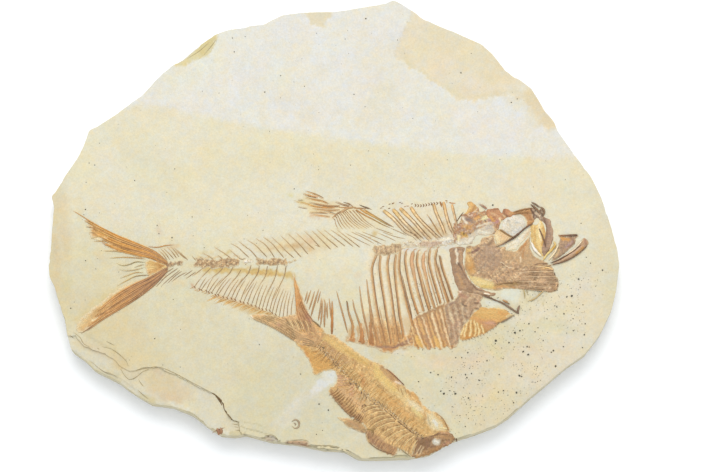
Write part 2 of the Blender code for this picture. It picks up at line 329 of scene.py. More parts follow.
# where the fish lie: the upper face is finer there
fishGround = spots("""
-134,11 -80,-2 -45,-2 -20,22 5,17 20,14 60,17 105,16 113,4 129,-2 129,-11 115,-21 115,-35 95,-47 62,-64
32,-67 64,-105 60,-114 40,-119 22,-120 -62,-112 -62,-96 -44,-93 -12,-93 0,-98 -12,-82 -22,-61 -48,-46
-73,-36 -90,-34 -127,-56 -134,-48 -106,-26 -118,-12 -128,-4
""")

# where the uppermost bed has flaked back from the rim: middle, reach along the rim, how far back
rimFlakes = spots("""
-119,-72,5,1.6 -108,-78.5,9,2 -98,-85,6,1.7 -86,-90.6,6,.8 -72,-94.5,7,.6 -58,-104.5,4,.7
-5,-112.5,9,1.2 9,-116,5,1 26,-117.5,9,.6 33,-117,4,1.4 52,-112.4,4,.9 -74,89,6,.9 -128,-64.5,3,.7
-48,102.8,4,.5 64,-107,5,.5 88,-95,5,.4
""")


def prepareBeds():
    for bed in brokenBeds:
        line = straight(bed["line"], 0.8)
        normal = normals2d(line)
        x, y = line.T
        shake = bed["ragged"] * (cloud(x, y, 2.4, 8) + 0.8 * cloud(x, y, 0.9, 9))
        line = line + normal * shake[:, None]
        bed["edge"] = line
        bed["region"] = np.vstack([line, bed["around"]])
        bed["lips"] = [line + normal * 0.13, line - normal * 0.13]


def bedding(x, y):  # height of the upper face
    x, y = np.asarray(x, float), np.asarray(y, float)
    z = slab["thickness"] + slab["sway"] * cloud(x, y, 55, 1) + 0.07 * cloud(x, y, 14, 2, 2)
    z = z + 0.025 * cloud(x, y, 2.6, 5, 2)
    for bed in brokenBeds:
        z = z - bed["depth"] * inside(x, y, bed["region"]) * (1 + 0.25 * cloud(x, y, 9, 6))
    return z


def readRim():
    # the slab's own outline, from the widest line of the CAD solid, drawn finer and a little knapped
    x, y, z = places(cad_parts["limestone_slab"].data)
    widest = z[np.argmax(np.abs(x))]
    ring = np.unique(np.round(np.stack([x, y], 1)[np.abs(z - widest) < 0.03], 2), axis=0)
    ring = ring[np.argsort(np.arctan2(ring[:, 1], ring[:, 0]))]
    rim = straight(ring, slab["rimStep"], closed=True)
    for _ in range(2):
        rim = (2 * rim + np.roll(rim, 1, 0) + np.roll(rim, -1, 0)) / 4
    return rim


def rimRings(rim):
    # edges of each bed, from the upper face down: how far each stands in from the rim, and its height
    x, y = rim.T
    flaked = np.zeros(len(rim))
    for cx, cy, reach, back in rimFlakes:
        away = np.hypot(x - cx, y - cy) / reach + 0.25 * cloud(x, y, 1.5, 81)
        flaked = np.maximum(flaked, back * ease((1.15 - away) / 0.3))
    chips = 0.28 * ease(cloud(x, y, 2.2, 83, 2) - 0.35) + 0.5 * ease((cloud(x, y, 5, 84) - 0.55) * 2)
    rings = []
    depth, total = 0.0, slab["thickness"]
    for k, bed in enumerate(slab["beds"]):
        for part in (0.0, 0.5, 0.97):
            level = 1 - (depth + bed * part) / total
            lean = 0.25 * ease((level - 0.5) / 0.5) + 2.0 * ease((0.3 - level) / 0.3) ** 2
            push = 0.22 * cloud(x, y, 7, 20 + k) + 0.14 * cloud(x, y, 2.2, 40 + k, 2)
            push = np.abs(push) if k else 0.4 * push
            back = chips + flaked if k == 0 else 0.25 * chips
            bulge = 0.14 if part == 0.5 else 0.0
            lift = 0.15 * cloud(x, y, 30, 60 + k) * (level > 0.05)
            rings.append((lean + push + back - bulge, total * level + lift))
        depth += bed
    return rings


def makeSlab(material):
    rim = readRim()
    count = len(rim)
    outward = normals2d(rim, closed=True)
    rings = rimRings(rim)
    top = rim - outward * rings[0][0][:, None]
    low, high = rim.min(0), rim.max(0)
    fine, coarse = hexGrid(low, high, slab["fineGrid"], 1), hexGrid(low, high, slab["coarseGrid"], 2)
    grid = np.vstack([fine[inside(*fine.T, fishGround)], coarse[~inside(*coarse.T, fishGround)]])
    keep = depthInside(*grid.T, top[::2]) > slab["rimClear"]
    lips = []
    for bed in brokenBeds:
        keep &= lineDistance(*grid.T, bed["edge"]) > slab["stepClear"]
        for lip in bed["lips"]:
            within = depthInside(*lip.T, top) > 0.2
            cuts = np.flatnonzero(np.diff(within.astype(int))) + 1
            lips += [run for run, ok in zip(np.split(lip, cuts), np.split(within, cuts))
                if ok[0] and len(run) > 1]
    flat, faces, firstRing = triangulate(top, lips, grid[keep])
    points, heights = [flat], [bedding(*flat.T)]
    faces = [tuple(face) for face in faces]
    offset, previous, lastZ = len(flat), firstRing, bedding(*top.T)
    for back, z in rings[1:]:
        points.append(rim - outward * back[:, None])
        lastZ = np.minimum(np.maximum(z, 0.02), lastZ - 0.03)
        heights.append(lastZ)
        current = list(range(offset, offset + count))
        faces += [(previous[i], current[i], current[(i + 1) % count], previous[(i + 1) % count])
            for i in range(count)]
        previous, offset = current, offset + count
    under = hexGrid(low, high, slab["undersideGrid"], 3)
    under = under[depthInside(*under.T, points[-1]) > 2.0]
    flatLow, lowFaces, edge = triangulate(points[-1], [], under)
    mapping = {i: previous[s] for s, i in enumerate(edge)}
    extra = [i for i in range(len(flatLow)) if i not in mapping]
    mapping.update({i: offset + k for k, i in enumerate(extra)})
    points.append(flatLow[extra])
    heights.append(np.maximum(0.12 + 0.28 * cloud(*flatLow[extra].T, 22, 70, 3), 0))
    faces += [tuple(mapping[i] for i in reversed(face)) for face in lowFaces]
    x, y = np.vstack(points).T
    z = np.concatenate(heights)
    piece = meshPiece("limestoneSlab", toMetres(x, y, z), faces, material, stoneColours(x, y, z))
    piece.data.set_sharp_from_angle(angle=math.radians(38))
    return piece


whiteEdge = spots("""
-112,64 -103,62.5 -98,63.5 -92,62.6 -80,61.5 -74,59.4 -60,56 -40,52 -20,48.6 0,45.6 20,43 40,41 60,38.6
80,36.6 100,35.4 124,36
""")
upperPatch = brokenBeds[4]["line"] + brokenBeds[4]["around"]

stoneMarks = [
    # warmer towards the rim and the lower left, bleached over the upper third
    *marks("""
-160,4 -60,-12 0,-30 60,-40 160,-20 160,-140 -160,-140 e1d8b8 34 1
-40,-62 -6,-66 6,-100 -30,-112 -52,-98 ddd5b6 16 .9
-60,-36 -10,-30 10,-20 10,-45 -40,-60 e4dcc0 12 .8
56,-60 90,-58 124,-50 116,-80 70,-108 58,-92 e2d5b6 12 .8
-150,40 -136,30 -134,-10 -130,-45 -150,-60 dfd0a8 12 .7
130,40 128,-10 110,-60 150,-60 150,40 e2d6b6 10 .5
"""),
    (whiteEdge + [(124, 130), (-124, 130)], "bleached", 3.5, 0.95),
    *marks("""
-112,70 -80,68 -60,78 -50,104 -120,110 e8e5d4 12 .8
60,62 96,58 118,40 60,46 e9e4da 10 .8
10,104 26,100 36,84 28,66 8,72 e8e0cc 10 .6
"""),
    (upperPatch, "patchTan", 0.5, 1.0),
    *marks("""
45,120 44,88 70,82 84,88 60,110 e6dabc 9 .8
76,72 92,78 90,90 72,92 e6d8b6 8 .6
84,70 90,62 98,60 99,52 112,48 112,60 100,76 e8dfc8 3.5 .7
92,67 99,62 107,50 112,52 100,72 e4d0a8 2.4 .7
"""),
    (brokenBeds[5]["line"] + brokenBeds[5]["around"], "e4d8b8", 0.5, 1.0),
    (brokenBeds[3]["line"] + brokenBeds[3]["around"], "e0d4a8", 0.6, 1.0),
    *marks("-72,92 -66,89 -62,92 -60,99 -66,97 d8c892 1.2 .8"),
    # the face laid bare below the broken bed
    (brokenBeds[0]["line"] + brokenBeds[0]["around"], "e2d9be", 0.6, 0.9),
    *marks("""
-112,-63 -104,-65 -102,-70 -108,-71 dfca9e 2.5 .8
-92,-72 -82,-74 -72,-80 -70,-86 -82,-90 -93,-82 e0cdac 4 .75
-88,-72 -85,-74 dcb8a0 1.6 .5 2
-83,-84 -78,-86 dfc6a8 3 .6 4
-124,-58 -114,-63 e2cfae 3 .6 4
-134,-56 -128,-60 e4d2a8 3 .5 4
-134,-56 -128,-62 -120,-68 -110,-74 -100,-81 -92,-87 cabd90 1.4 .5 .7
"""),
    # the freshly scraped patch beside the small fish
    *marks("""
-11,-82 -8,-77 -4,-73 0,-71.6 1.4,-74 1,-78 -3,-79.4 -6,-82 e6e5df 2.2 .8
-13,-84.6 -10,-80 -7,-82 -11,-86 e5e1d6 2 .6
-30,-99 -26,-92 -16,-83 -11,-84 -16,-89 -19,-96 -26,-101 e2dcc9 6 .6
-24,-93.4 -18,-87 e6e1d2 2 .6 1
-22,-90 -17,-85.6 e6e1d2 1.6 .5 .7
"""),
    # ochre, pink and olive clouds
    *marks("""
98,-40 130,-22 137,-44 124,-66 104,-80 82,-82 84,-66 104,-56 ebe0c9 9 .5
-136,-30 -104,-34 -84,-60 -76,-88 -104,-74 -126,-52 dfcda0 9 .5
46,-63 62,-66 84,-60 70,-72 50,-70 ead2b2 5 .5
60,-84 80,-80 88,-88 70,-96 e6d6ae 6 .5
104,-48 118,-52 ded4aa 5 .5 5
76,-58 82,-64 ded6a4 4 .5 3
90,-66 100,-76 e6d2b2 6 .5 5
16,56 26,70 e6dcc0 8 .5 10
-30,70 -10,60 e4e0d2 10 .6 10
-60,30 -20,34 20,26 e6dcbc 14 .6 16
-100,40 -80,20 e5dcba 14 .6 18
72,26 104,20 e9dfc6 14 .6 14
"""),
]


# stains round the fish: amber where the flesh was, cream between the bones
stoneMarks += marks("""
17,-12 58,-12 59,-36 50,-42 42,-46 40,-58 20,-60 14,-50 13,-36 16,-22 eee1c1 2.5 .8
17,-42 40,-46 40,-58 22,-60 16,-58 12,-52 dcbb8a 4 .6
20,-57 28,-58.6 38,-56 39,-60 30,-62 24,-63.4 20,-60.6 c79a68 1.4 .8
6,-57 10,-57.4 10,-50 8,-50 d0a468 1.6 .7
10.6,-58.6 15.8,-58.8 15.2,-50 12,-50 cf9f62 1.4 .7
16,-59.6 20.4,-59.8 20,-50 17.4,-48 c6955c 1.4 .7
24,7 34,11 50,12 58,10 60,0 50,-3 40,-3 30,2 eadcc2 3 .6
38,0 46,1 52,3 58,1 58,-5 50,-6 42,-5 e2c898 2.4 .7
43,-4 56,-1.6 60,-4 46,-7 d8c09a 2 .7
46,9 52,2 57,9 ead8b0 2 .6
40,-3 48,1.4 55,3 60,2 60,-5.4 48,-6 42,-5.4 d9bc90 1.8 .6
27,6 40,-3 e4cc9c 1.2 .6 1.2
28,4 34,4 40,-1 36,-2 e6cfa0 2 .5
50,9 54,4 57,9 ecd9ae 2 .5
-42,-7 -5,-2 4,-9 -10,-13 -36,-15 e6d2a4 4 .55
-32,-10.6 -24,-9.6 -12,-10.4 d4a664 2.4 .5 1.6
-18,-8 -12,-7 dcb078 2.6 .45 2
-20,-9.4 -16,-8.6 c8944c 1.4 .45 .9
-14,-5 -10,-7 e0b488 3 .4 1.6
-52,-12.4 -54.6,-13.8 d0b468 1.4 .7 1
-69,-15.2 -63,-15 -56,-15 d9b06a 1.2 .7 .8
-66,-12.4 -60,-13 e0c890 1.6 .5 1.2
-49,-14.4 -47.6,-15 c8944c 1.2 .5 1
-64,-21.2 -50,-21.6 -40,-22.2 -30,-22.9 -21,-24.2 d8b874 1.8 .85 2.8
-60,-20.9 -46,-21.2 -30,-22 c8a458 .7 .6 .5
-44,-22.9 -34,-23.3 -24,-24.3 c9974e .8 .6 .6
-70,-24 -56,-24 -40,-26 -22,-28 -20,-46 -34,-41 -50,-35 -62,-32 -70,-30 e9dabb 3 .7
-58,-35.4 -50,-37 -42,-39.4 -34,-42 -28,-45 -36,-46.4 -42,-44.6 -48,-41 dcc08a 2.4 .7
-58,-35 -52,-35.8 -44,-38.6 -36,-41 d9a86c 1.4 .5 1.2
-71,-28.4 -69.4,-30.6 d9a070 1.6 .7 1.2
-79,-26 -75,-29 e8cfa0 3 .5 2
-3,5 -12,7 -18,13 -14,18 -6,15 4,12 14,10 4,6 e8d2a0 2.5 .6
-12.4,6.4 -8,5.8 e0b488 2 .6 1.2
2,5 14,9 26,1 16,-1 4,0 e8d6ac 3 .6
20,-2.4 19.8,-2.6 d9bc7c 2.4 .8 2.6
18.4,-5 17,-5.4 dba65c .8 .7 .7
-22,16.4 -22.2,16.6 dcd092 2.2 .7 2
-17,13.4 -15,13 dcd092 1.4 .6 1.2
11.6,-24.2 12.4,-24 e6cfae 2.6 .5 2.6
34,-7 60,-4 60,-11 46,-12 34,-12 e4dccb 1.6 .8
-100,-17 -94,-16 -94,-24 -104,-26 e6dfb8 2.5 .6
-130,-46 -122,-38 -112,-32 -100,-27 -112,-36 -126,-50 e0cc98 3 .6
-84,-10 -78,-9 e2bc84 1.6 .5 1
-88.5,1 -87.6,-3 decab0 2 .6 1.6
-140,-5 -138,-20 -139,-32 dcbf94 4 .4 3
-136,14 -134,-14 e0c498 7 .35 5
-118,-14 -116,-16 e0c99c 4 .35 3
-132,-26 -134,-32 d8c790 4 .4 3
""")

stoneMarks += marks("""
75,-36.5 82,-36.8 83,-39.4 78,-40 e6e3d2 1.2 .8
82,-32 92,-31.6 92,-37 88,-38.6 84,-36 e4e4d2 1.6 .8
17,-60.4 24,-63.4 28,-64 24,-68 18,-65 e2d3a2 2.4 .6
34,92 38,84 56,72 66,66 e2d5b0 2 .6 1.6
70,67 92,70 e2d3ae 2.4 .6 2
50,100 58,92 e3d4b0 6 .6 5
66,84 78,76 e4d8b6 6 .6 4
0,58 6,62 e2dfd2 2.4 .6 2
27,90 31,94 dedace 1.6 .5 1
-34,82 -28,86 e0dccc 3 .5 2.4
-8,78 2,84 e2ddd0 4 .5 3
84,-44 96,-46 104,-42 ebe0c8 5 .6 4
70,-88 78,-80 ead8bc 4 .6 3
98,-60 104,-66 e6d0ae 4 .6 3
42,-68 56,-70 ebd9bc 3.4 .6 3
30,-62.6 40,-64 46,-68 e9dcc2 3 .6 2.4
112,-44 120,-38 e6dab8 4 .6 4
""")
stoneMarks += [([(x, -31.6), (x + 2.2, -34.6), (x, -38)], "cdbf92", 0.6, 0.6, 0.5)
    for x in (95.4, 98.4, 101.6, 104)]
# seams where the front rim has split: rust-brown and pinkish stain along the ledge, and painted shade, olive
# in the hollow and olive-grey under the ledge lines
seams = marks("""
-37,-105.8 -33,-106.8 -27,-107.6 -24,-108.4 -23,-112 -37,-112 857f62 .9 .9
-34,-108 -28,-109 6c664a 1.2 .8 1.4
-34,-105.4 -31,-104.6 -28.6,-106 cbbfae .9 .8 .8
-41,-105.2 -36,-106 8f7f60 .7 .8 .6
-44,-103.4 -41.6,-105 7d6a4c .5 .8 .5
-24,-107.6 -18,-106.9 -13,-107.4 -11.6,-111.6 -24,-111.6 b39477 .7 .9
-23.4,-108 -18,-107.2 -13.4,-107.6 6b4e38 .5 .9 .5
-23,-109.8 -17,-110 -12,-110.4 5e4834 .7 .9 .7
-18,-108.4 -14.6,-108.2 d2ac90 .6 .8 .7
-11.6,-109.4 -8,-110 -3,-109.8 2,-110.6 6,-112.4 8,-114.4 978a66 .5 .85 .5
-8,-111 -2,-111.6 4,-112 9,-114.6 12,-116.8 7f7456 .7 .85 .6
9,-115.8 14,-117 22,-116.8 9c8f6e .6 .7 .5
28,-116.4 36,-116.8 a89a76 .6 .6 .5
-46,-99.9 -39.6,-101.6 -35,-103.2 -30,-103.8 a89a70 .6 .7 .4
-44,-97.6 -38,-98.4 -34,-100.4 c4b88e .7 .5 .4
""")


def stoneColours(x, y, z):
    colours = np.tile(linear("tan"), (len(x), 1))
    colours = paint(x, y, colours, stoneMarks, 0.8)
    colours[z < 0.2 * slab["thickness"]] = linear("deepTan")  # no fish and no bleaching underneath
    warmth = (cloud(x, y, 13, 51, 2) + 0.9 * cloud(x, y, 4.6, 54, 3))[:, None]
    pinkness = cloud(x, y, 8, 55, 3)[:, None]
    colours *= 1 + warmth * (0.010, -0.002, -0.044) + pinkness * (0.006, -0.008, -0.006)
    colours *= 1 + 0.027 * cloud(x, y, 3.0, 52, 3)[:, None]
    # the broken side: each bed a little different; over it go the seams, brown stain and olive painted shade
    depth = np.cumsum([0] + slab["beds"])
    below = z < slab["thickness"] - 0.75
    side = below & (depthInside(x, y, readRim()[::3]) < 2.6)
    bedOf = np.clip(np.searchsorted(depth, slab["thickness"] - z) - 1, 0, len(slab["beds"]) - 1)
    tones = ["e4dcc2", "d8cda8", "e2dabe", "dacfae", "e2dac0", "d7ccaa", "e0d7ba", "dbd0b2"]
    for k, tone in enumerate(tones):
        pick = side & (bedOf == k)
        colours[pick] = linear(tone) * (1 + 0.06 * cloud(x[pick], y[pick], 6, 90 + k, 2))[:, None]
    seamStainAndShade = paint(x, y, colours.copy(), seams, 0.3)
    # the seams' stain and painted shade fade downwards
    high = np.clip((z - slab["thickness"]) / slab["stainDepth"] + 2, 0, 1)[:, None]
    return colours + (seamStainAndShade - colours) * high


# split limestone: matt, chalky, softly mottled between ochre and grey
limestone = mineral("splitLimestone", dict(blotchSize=2.6, grainSize=0.8, contrast=0.075, bump=0.35,
    warm=(1.03, 0.985, 0.91), cool=(0.965, 1.0, 1.075), roughness=0.9, specular=0.2))
prepareBeds()
# Bones and fin rays are drawn as lines with a width and a tone at each point, and Geometry Nodes give them
# their bodies: a flattened tube half sunk in the stone, its edges a little ragged.

def groupTree(name, inputs):
    tree = bpy.data.node_groups.new(name, "GeometryNodeTree")
    tree.interface.new_socket("Geometry", in_out="INPUT", socket_type="NodeSocketGeometry")
    for label, kind in inputs.items():
        tree.interface.new_socket(label, in_out="INPUT", socket_type="NodeSocket" + kind)
    tree.interface.new_socket("Geometry", in_out="OUTPUT", socket_type="NodeSocketGeometry")
    return tree, tree.nodes.new("NodeGroupInput").outputs


def closeTree(tree, geometry, material):
    geometry = addNode(tree, "GeometryNodeSetShadeSmooth", {"Geometry": geometry})
    geometry = addNode(tree, "GeometryNodeRealizeInstances", {"Geometry": geometry})
    geometry = addNode(tree, "GeometryNodeSetMaterial", {"Geometry": geometry, "Material": material})
    tree.links.new(geometry, tree.nodes.new("NodeGroupOutput").inputs[0])
    return tree


def grow(name, mesh, tree, values):  # runs a tree on a mesh and keeps the result as a plain mesh
    seed = bpy.data.objects.new(name + "Lines", mesh)
    bpy.context.scene.collection.objects.link(seed)
    modifier = seed.modifiers.new("grow", "NODES")
    modifier.node_group = tree
    for item in tree.interface.items_tree:
        if item.in_out == "INPUT" and item.name in values:
            modifier[item.identifier] = values[item.name]
    ready = seed.evaluated_get(bpy.context.evaluated_depsgraph_get())
    plain = bpy.data.meshes.new_from_object(ready)
    seed.modifiers.remove(modifier)
    bpy.data.objects.remove(seed)
    plain.name = name
    return plain


def strandTree():
    tree, given = groupTree("strands", {"Material": "Material", "Step": "Float", "Sides": "Int",
        "Flatness": "Float", "Ragged": "Float", "Ragged Size": "Float"})
    line = addNode(tree, "GeometryNodeMeshToCurve", {"Mesh": given["Geometry"]})
    line = addNode(tree, "GeometryNodeResampleCurve", {"mode": "LENGTH", "Curve": line,
        "Length": given["Step"]})
    line = addNode(tree, "GeometryNodeSetCurveNormal", {"mode": "Z_UP", "Curve": line})
    width = addNode(tree, "GeometryNodeInputNamedAttribute", {"Name": "width"})
    scale = addNode(tree, "ShaderNodeMath", {"operation": "DIVIDE", 0: 1.0, 1: given["Ragged Size"]})
    rough = addNode(tree, "ShaderNodeTexNoise", {"Scale": scale, "Detail": 2.0})
    rough = addNode(tree, "ShaderNodeMath", {"operation": "SUBTRACT", 0: rough, 1: 0.5})
    rough = addNode(tree, "ShaderNodeMath", {"operation": "MULTIPLY_ADD", 0: rough, 1: given["Ragged"],
        2: 0.5})
    radius = addNode(tree, "ShaderNodeMath", {"operation": "MULTIPLY", 0: width, 1: rough})
    ring = addNode(tree, "GeometryNodeCurvePrimitiveCircle", {"Resolution": given["Sides"], "Radius": 1.0})
    squash = addNode(tree, "ShaderNodeCombineXYZ", {"X": 1.0, "Y": given["Flatness"], "Z": 1.0})
    ring = addNode(tree, "GeometryNodeTransform", {"Geometry": ring, "Scale": squash})
    sideways = addNode(tree, "ShaderNodeSeparateXYZ",
        {0: tree.nodes.new("GeometryNodeInputPosition").outputs[0]})
    ring = addNode(tree, "GeometryNodeStoreNamedAttribute", {"Geometry": ring, "Name": "across",
        "Value": sideways})
    body = addNode(tree, "GeometryNodeCurveToMesh", {"Curve": line, "Profile Curve": ring, "Scale": radius,
        "Fill Caps": True})
    return closeTree(tree, body, given["Material"])


strands = strandTree()


def spread(values, count):  # values interpolated evenly over count points
    values = np.atleast_2d(np.array(values, float).T).T
    place = np.linspace(0, len(values) - 1, count)
    low = np.minimum(place.astype(int), max(len(values) - 2, 0))
    high = np.minimum(low + 1, len(values) - 1)
    return values[low] + (values[high] - values[low]) * (place - low)[:, None]


def readAttribute(mesh, name, size=1):
    data = mesh.attributes[name].data
    out = np.empty(len(data) * size, np.float32)
    data.foreach_get({1: "value", 3: "vector", 4: "color"}[size], out)
    return out.reshape(-1, size) if size > 1 else out


boneCast, filmCast = (1.09, 1.06, 1.0), (1.05, 1.03, 1.0)  # the warm cast of strands and of films
sunk = 0.25  # how far the underside of a film lies in the stone


def strandPiece(name, fibres, material, look):
    # a bone is its points, then its widths in millimetres and its tones, both spread evenly along it, and
    # for some a lift over the bone below
    points, widths, tones, edges = [], [], [], []
    for k, (line, width, tone, *lift) in enumerate(fibres):
        path = curve(line, 0.8)
        count = len(path)
        size = spread(np.atleast_1d(width), count)[:, 0]
        run = np.linspace(0, 1, count)
        size = size * look.get("slim", 1) * (0.35 + 0.65 * ease(np.minimum(run, 1 - run) * count * 0.8
            / look["taper"]))
        edges += [(len(points) + i, len(points) + i + 1) for i in range(count - 1)]
        rise = bedding(*path.T) + (lift[0] if lift else look["lift"]) + 0.02 * (k % 3)
        points += toMetres(*path.T, rise).tolist()
        widths += (size * mm).tolist()
        tones.append(spread([linear(t) for t in tone.split()], count))
    mesh = bpy.data.meshes.new(name + "Lines")
    mesh.from_pydata(points, edges, [])
    mesh.attributes.new("width", "FLOAT", "POINT").data.foreach_set("value", widths)
    tone = mesh.attributes.new("tone", "FLOAT_VECTOR", "POINT")
    tone.data.foreach_set("vector", np.vstack(tones).astype(np.float32).ravel())
    body = grow(name, mesh, strands, {"Material": material, "Step": look["step"] * mm,
        "Sides": look["sides"], "Flatness": look["flat"], "Ragged": look["ragged"],
        "Ragged Size": 1.3 * mm})
    across = readAttribute(body, "across")
    shade = readAttribute(body, "tone", 3)
    x, y, z = places(body)
    # painted light and shade: every strand is made lighter along its top and darker down its flanks, as a
    # rounded bone lit from above would look
    edge = np.clip((np.abs(across) - 0.45) / 0.5, 0, 1)[:, None]
    colours = shade * (1.0 + look["core"] - (look["core"] + look["edge"]) * edge)
    colours *= (1 + look["mottle"] * cloud(x, y, 1.1, 14, 3))[:, None] * boneCast
    setTint(body, colours)
    for spare in ("width", "tone", "across"):
        if spare in body.attributes:
            body.attributes.remove(body.attributes[spare])
    return addPiece(name, body, material)


def between(first, last, count):  # lines spaced evenly from the first to the last
    first, last = np.array(first, float), np.array(last, float)
    return [first + (last - first) * t for t in np.linspace(0, 1, count)]


def alike(lines, widths, *tones):  # bones with the same widths, their tones taken in turn
    return [(line, widths, tones[k % len(tones)]) for k, line in enumerate(lines)]


def beside(line, away):  # a line a little to the right of another
    path = curve(line, 2.0)
    return path + normals2d(path) * away


def combRow(tops, feet, count, bend=0.0, jitter=0.25):
    # lines from one guide to another, evenly spaced, a little uneven and bowed
    shake = np.random.default_rng(int(abs(tops[0][0]) * 10) + count)
    upper, lower = spread(tops, count), spread(feet, count)
    rows = []
    for a, b in zip(upper, lower):
        a, b = a + shake.normal(0, jitter, 2), b + shake.normal(0, jitter, 2)
        side = np.array([b[1] - a[1], a[0] - b[0]]) * bend
        rows.append([a, (a + b) / 2 + side, b])
    return rows


def crazed(x, y, size, seed):  # broken into cells: the number of the cell and the distance to its edge
    wx = x / size + 0.35 * cloud(x, y, size * 1.1, seed, 2)
    wy = y / size + 0.35 * cloud(x, y, size * 1.1, seed + 1, 2)
    ix, iy = np.floor(wx).astype(int), np.floor(wy).astype(int)
    best = np.full(np.shape(x), 1e9)
    second, number = best.copy(), np.zeros(np.shape(x), int)
    for di in (-1, 0, 1):
        for dj in (-1, 0, 1):
            i, j = (ix + di) % 256, (iy + dj) % 256
            cx, cy = ix + di + 0.5 + 0.45 * noiseTable[i, j], iy + dj + 0.5 + 0.45 * noiseTable[j, i]
            away = np.hypot(wx - cx, wy - cy)
            nearer = away < best
            second = np.where(nearer, best, np.minimum(second, away))
            number = np.where(nearer, i * 31 + j * 17, number)
            best = np.where(nearer, away, best)
    return number, (second - best) * size


def plateShell(outline, look, stains):
    # a thin plate or film lying on the stone: its underside is sunk, its edge thin, its face uneven
    step = look.get("grid", 0.45)
    rim = curve(outline, step, closed=True)
    turn = 0.5 * np.sum(rim[:, 0] * np.roll(rim[:, 1], -1) - np.roll(rim[:, 0], -1) * rim[:, 1])
    if turn < 0:
        rim = rim[::-1]
    x, y = rim.T
    rim = rim + normals2d(rim, closed=True) * (look.get("ragged", 0.2) * cloud(x, y, 1.3, 31, 2))[:, None]
    grid = hexGrid(rim.min(0), rim.max(0), step, 5)
    grid = grid[depthInside(*grid.T, rim) > step * 0.55]
    flat, faces, order = triangulate(rim, [], grid)
    x, y = flat.T
    depth = np.maximum(depthInside(x, y, rim), 0)
    bed = bedding(x, y)
    height = look["height"] * (1 + 0.3 * cloud(x, y, 3.0, 33))
    height = height + look.get("crumple", 0.05) * cloud(x, y, 0.9, 34, 2)
    colours = np.tile(linear(look["tone"]), (len(flat), 1))
    for size, tones, seam, seamTone, strength in look.get("crazing", []):
        shades = np.array([linear(tone) for tone in tones.split()])
        number, away = crazed(x, y, size, len(shades))
        colours += (shades[number % len(shades)] - colours) * strength
        gap = (1 - ease(away / seam))[:, None] * strength
        colours += (linear(seamTone) - colours) * gap
        height = height + look.get("relief", 0.12) * (noiseTable[number % 256, 7] - 0.8 * gap[:, 0])
    for fx, fy, width, strength in look.get("streaks", []):
        far = np.hypot(x - fx, y - fy)
        turnBy = np.arctan2(y - fy, x - fx) * np.mean(far)
        streak = cloud(turnBy, far * 0.12, width, 36, 2)
        colours = colours * (1 + strength * streak)[:, None]
        height = height + 0.12 * streak
    colours = colours * (1 + look.get("mottle", 0.08) * cloud(x, y, 1.2, 35, 3))[:, None]
    colours = paint(x, y, colours, stains, 0.3) * filmCast
    if "fade" in look:  # the film thins out into the stone towards its edge
        thin = (1 - ease((depth + 0.3 * cloud(x, y, 1.4, 37, 2)) / look["fade"]))[:, None] * 0.85
        colours += (linear("e3d6b2") - colours) * thin
    for line, width, lift in look.get("ridges", []):
        height = height + lift * (1 - ease(lineDistance(x, y, line) / width))
    height = np.maximum(height, 0.05) * ease(depth / look.get("edge", 0.8) * 0.5 + 0.15)
    z = bed + np.maximum(height, 0.03)
    count = len(flat)
    walls = [(order[i], order[(i + 1) % len(order)]) for i in range(len(order))]
    allFaces = [tuple(f) for f in faces] + [tuple(count + i for i in reversed(f)) for f in faces]
    allFaces += [(b, a, a + count, b + count) for a, b in walls]
    points = np.vstack([toMetres(x, y, z), toMetres(x, y, bed - sunk)])
    return points, allFaces, np.vstack([colours, colours])


def platePiece(name, plates, material):
    points, faces, colours, start = [], [], [], 0
    for outline, look, stains in plates:
        p, f, c = plateShell(outline, look, stains)
        faces += [tuple(i + start for i in face) for face in f]
        points.append(p)
        colours.append(c)
        start += len(p)
    return meshPiece(name, np.vstack(points), faces, material, np.vstack(colours))


# fossil bone: brown phosphate, harder and smoother than the stone, fibrous along its length
fossilBone = mineral("fossilBone", dict(blotchSize=1.6, grainSize=0.3, contrast=0.14, bump=0.3,
    warm=(1.15, 1.06, 0.96), cool=(1.03, 1.07, 1.13), roughness=0.62, specular=0.35))
# fossil skin and fin: a thin amber film on the stone
fossilFilm = mineral("fossilFilm", dict(blotchSize=1.2, grainSize=0.5, contrast=0.26, bump=0.45,
    warm=(1.16, 1.06, 0.94), cool=(1.02, 1.07, 1.14), roughness=0.7, specular=0.3))


def finishPiece(piece, nodes=()):
    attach(piece, "root")
    if nodes:
        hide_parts(*nodes)
    print(piece.name, sum(len(p.vertices) - 2 for p in piece.data.polygons), "triangles")
    return piece


def nodesNamed(*starts):
    return sorted(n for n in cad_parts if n.startswith(starts))


# besides size and shape, each strand look sets painted light: how much lighter the tops are, and how much
# darker the flanks (edge)
ribLook = dict(step=0.6, sides=8, flat=0.55, ragged=0.3, taper=1.2, lift=0.02, core=0.06, edge=0.18,
    mottle=0.12, slim=0.92)
spineLook = dict(ribLook, sides=6, taper=1.6, core=0.05, edge=0.08, slim=0.88)

mainRibs = lines("""
21.3,-13.5 19,-20.5 19.7,-29 20.8,-37 22.2,-45 24,-53 25.3,-58.5 / 23.3,-14 22.8,-20 23.7,-28 25,-36
26.3,-45 27.8,-53 28.6,-59 / 27.6,-13.5 26.7,-19 27.4,-26 28.6,-34 29.7,-43 31,-52 32,-58 / 31,-13.5
30.3,-20 30.9,-28 31.8,-36 32.7,-44 34,-51 34.6,-56 / 33,-12 32.5,-20 33.6,-27 35.2,-34 36.7,-40 38.6,-47
39.6,-51 / 36,-12 35.6,-17 37,-26 38.6,-33 40.3,-39 42,-44 / 39.7,-12 38.8,-17 40,-24 41.5,-31 43.5,-38
44.8,-42.5 / 41.8,-12.5 41.5,-18 43,-25 44.6,-32 46.6,-39 47.6,-42 / 45,-13 44.5,-18 46,-25 47.6,-32
49.6,-38.5 50.3,-41 / 48,-11 47.5,-17 49,-24 51,-31 53.2,-38.5 / 51.5,-11 50.5,-16 52,-22 54.5,-30 57,-38 /
52.8,-14 54,-20 56.6,-28 59.2,-36.5
""")
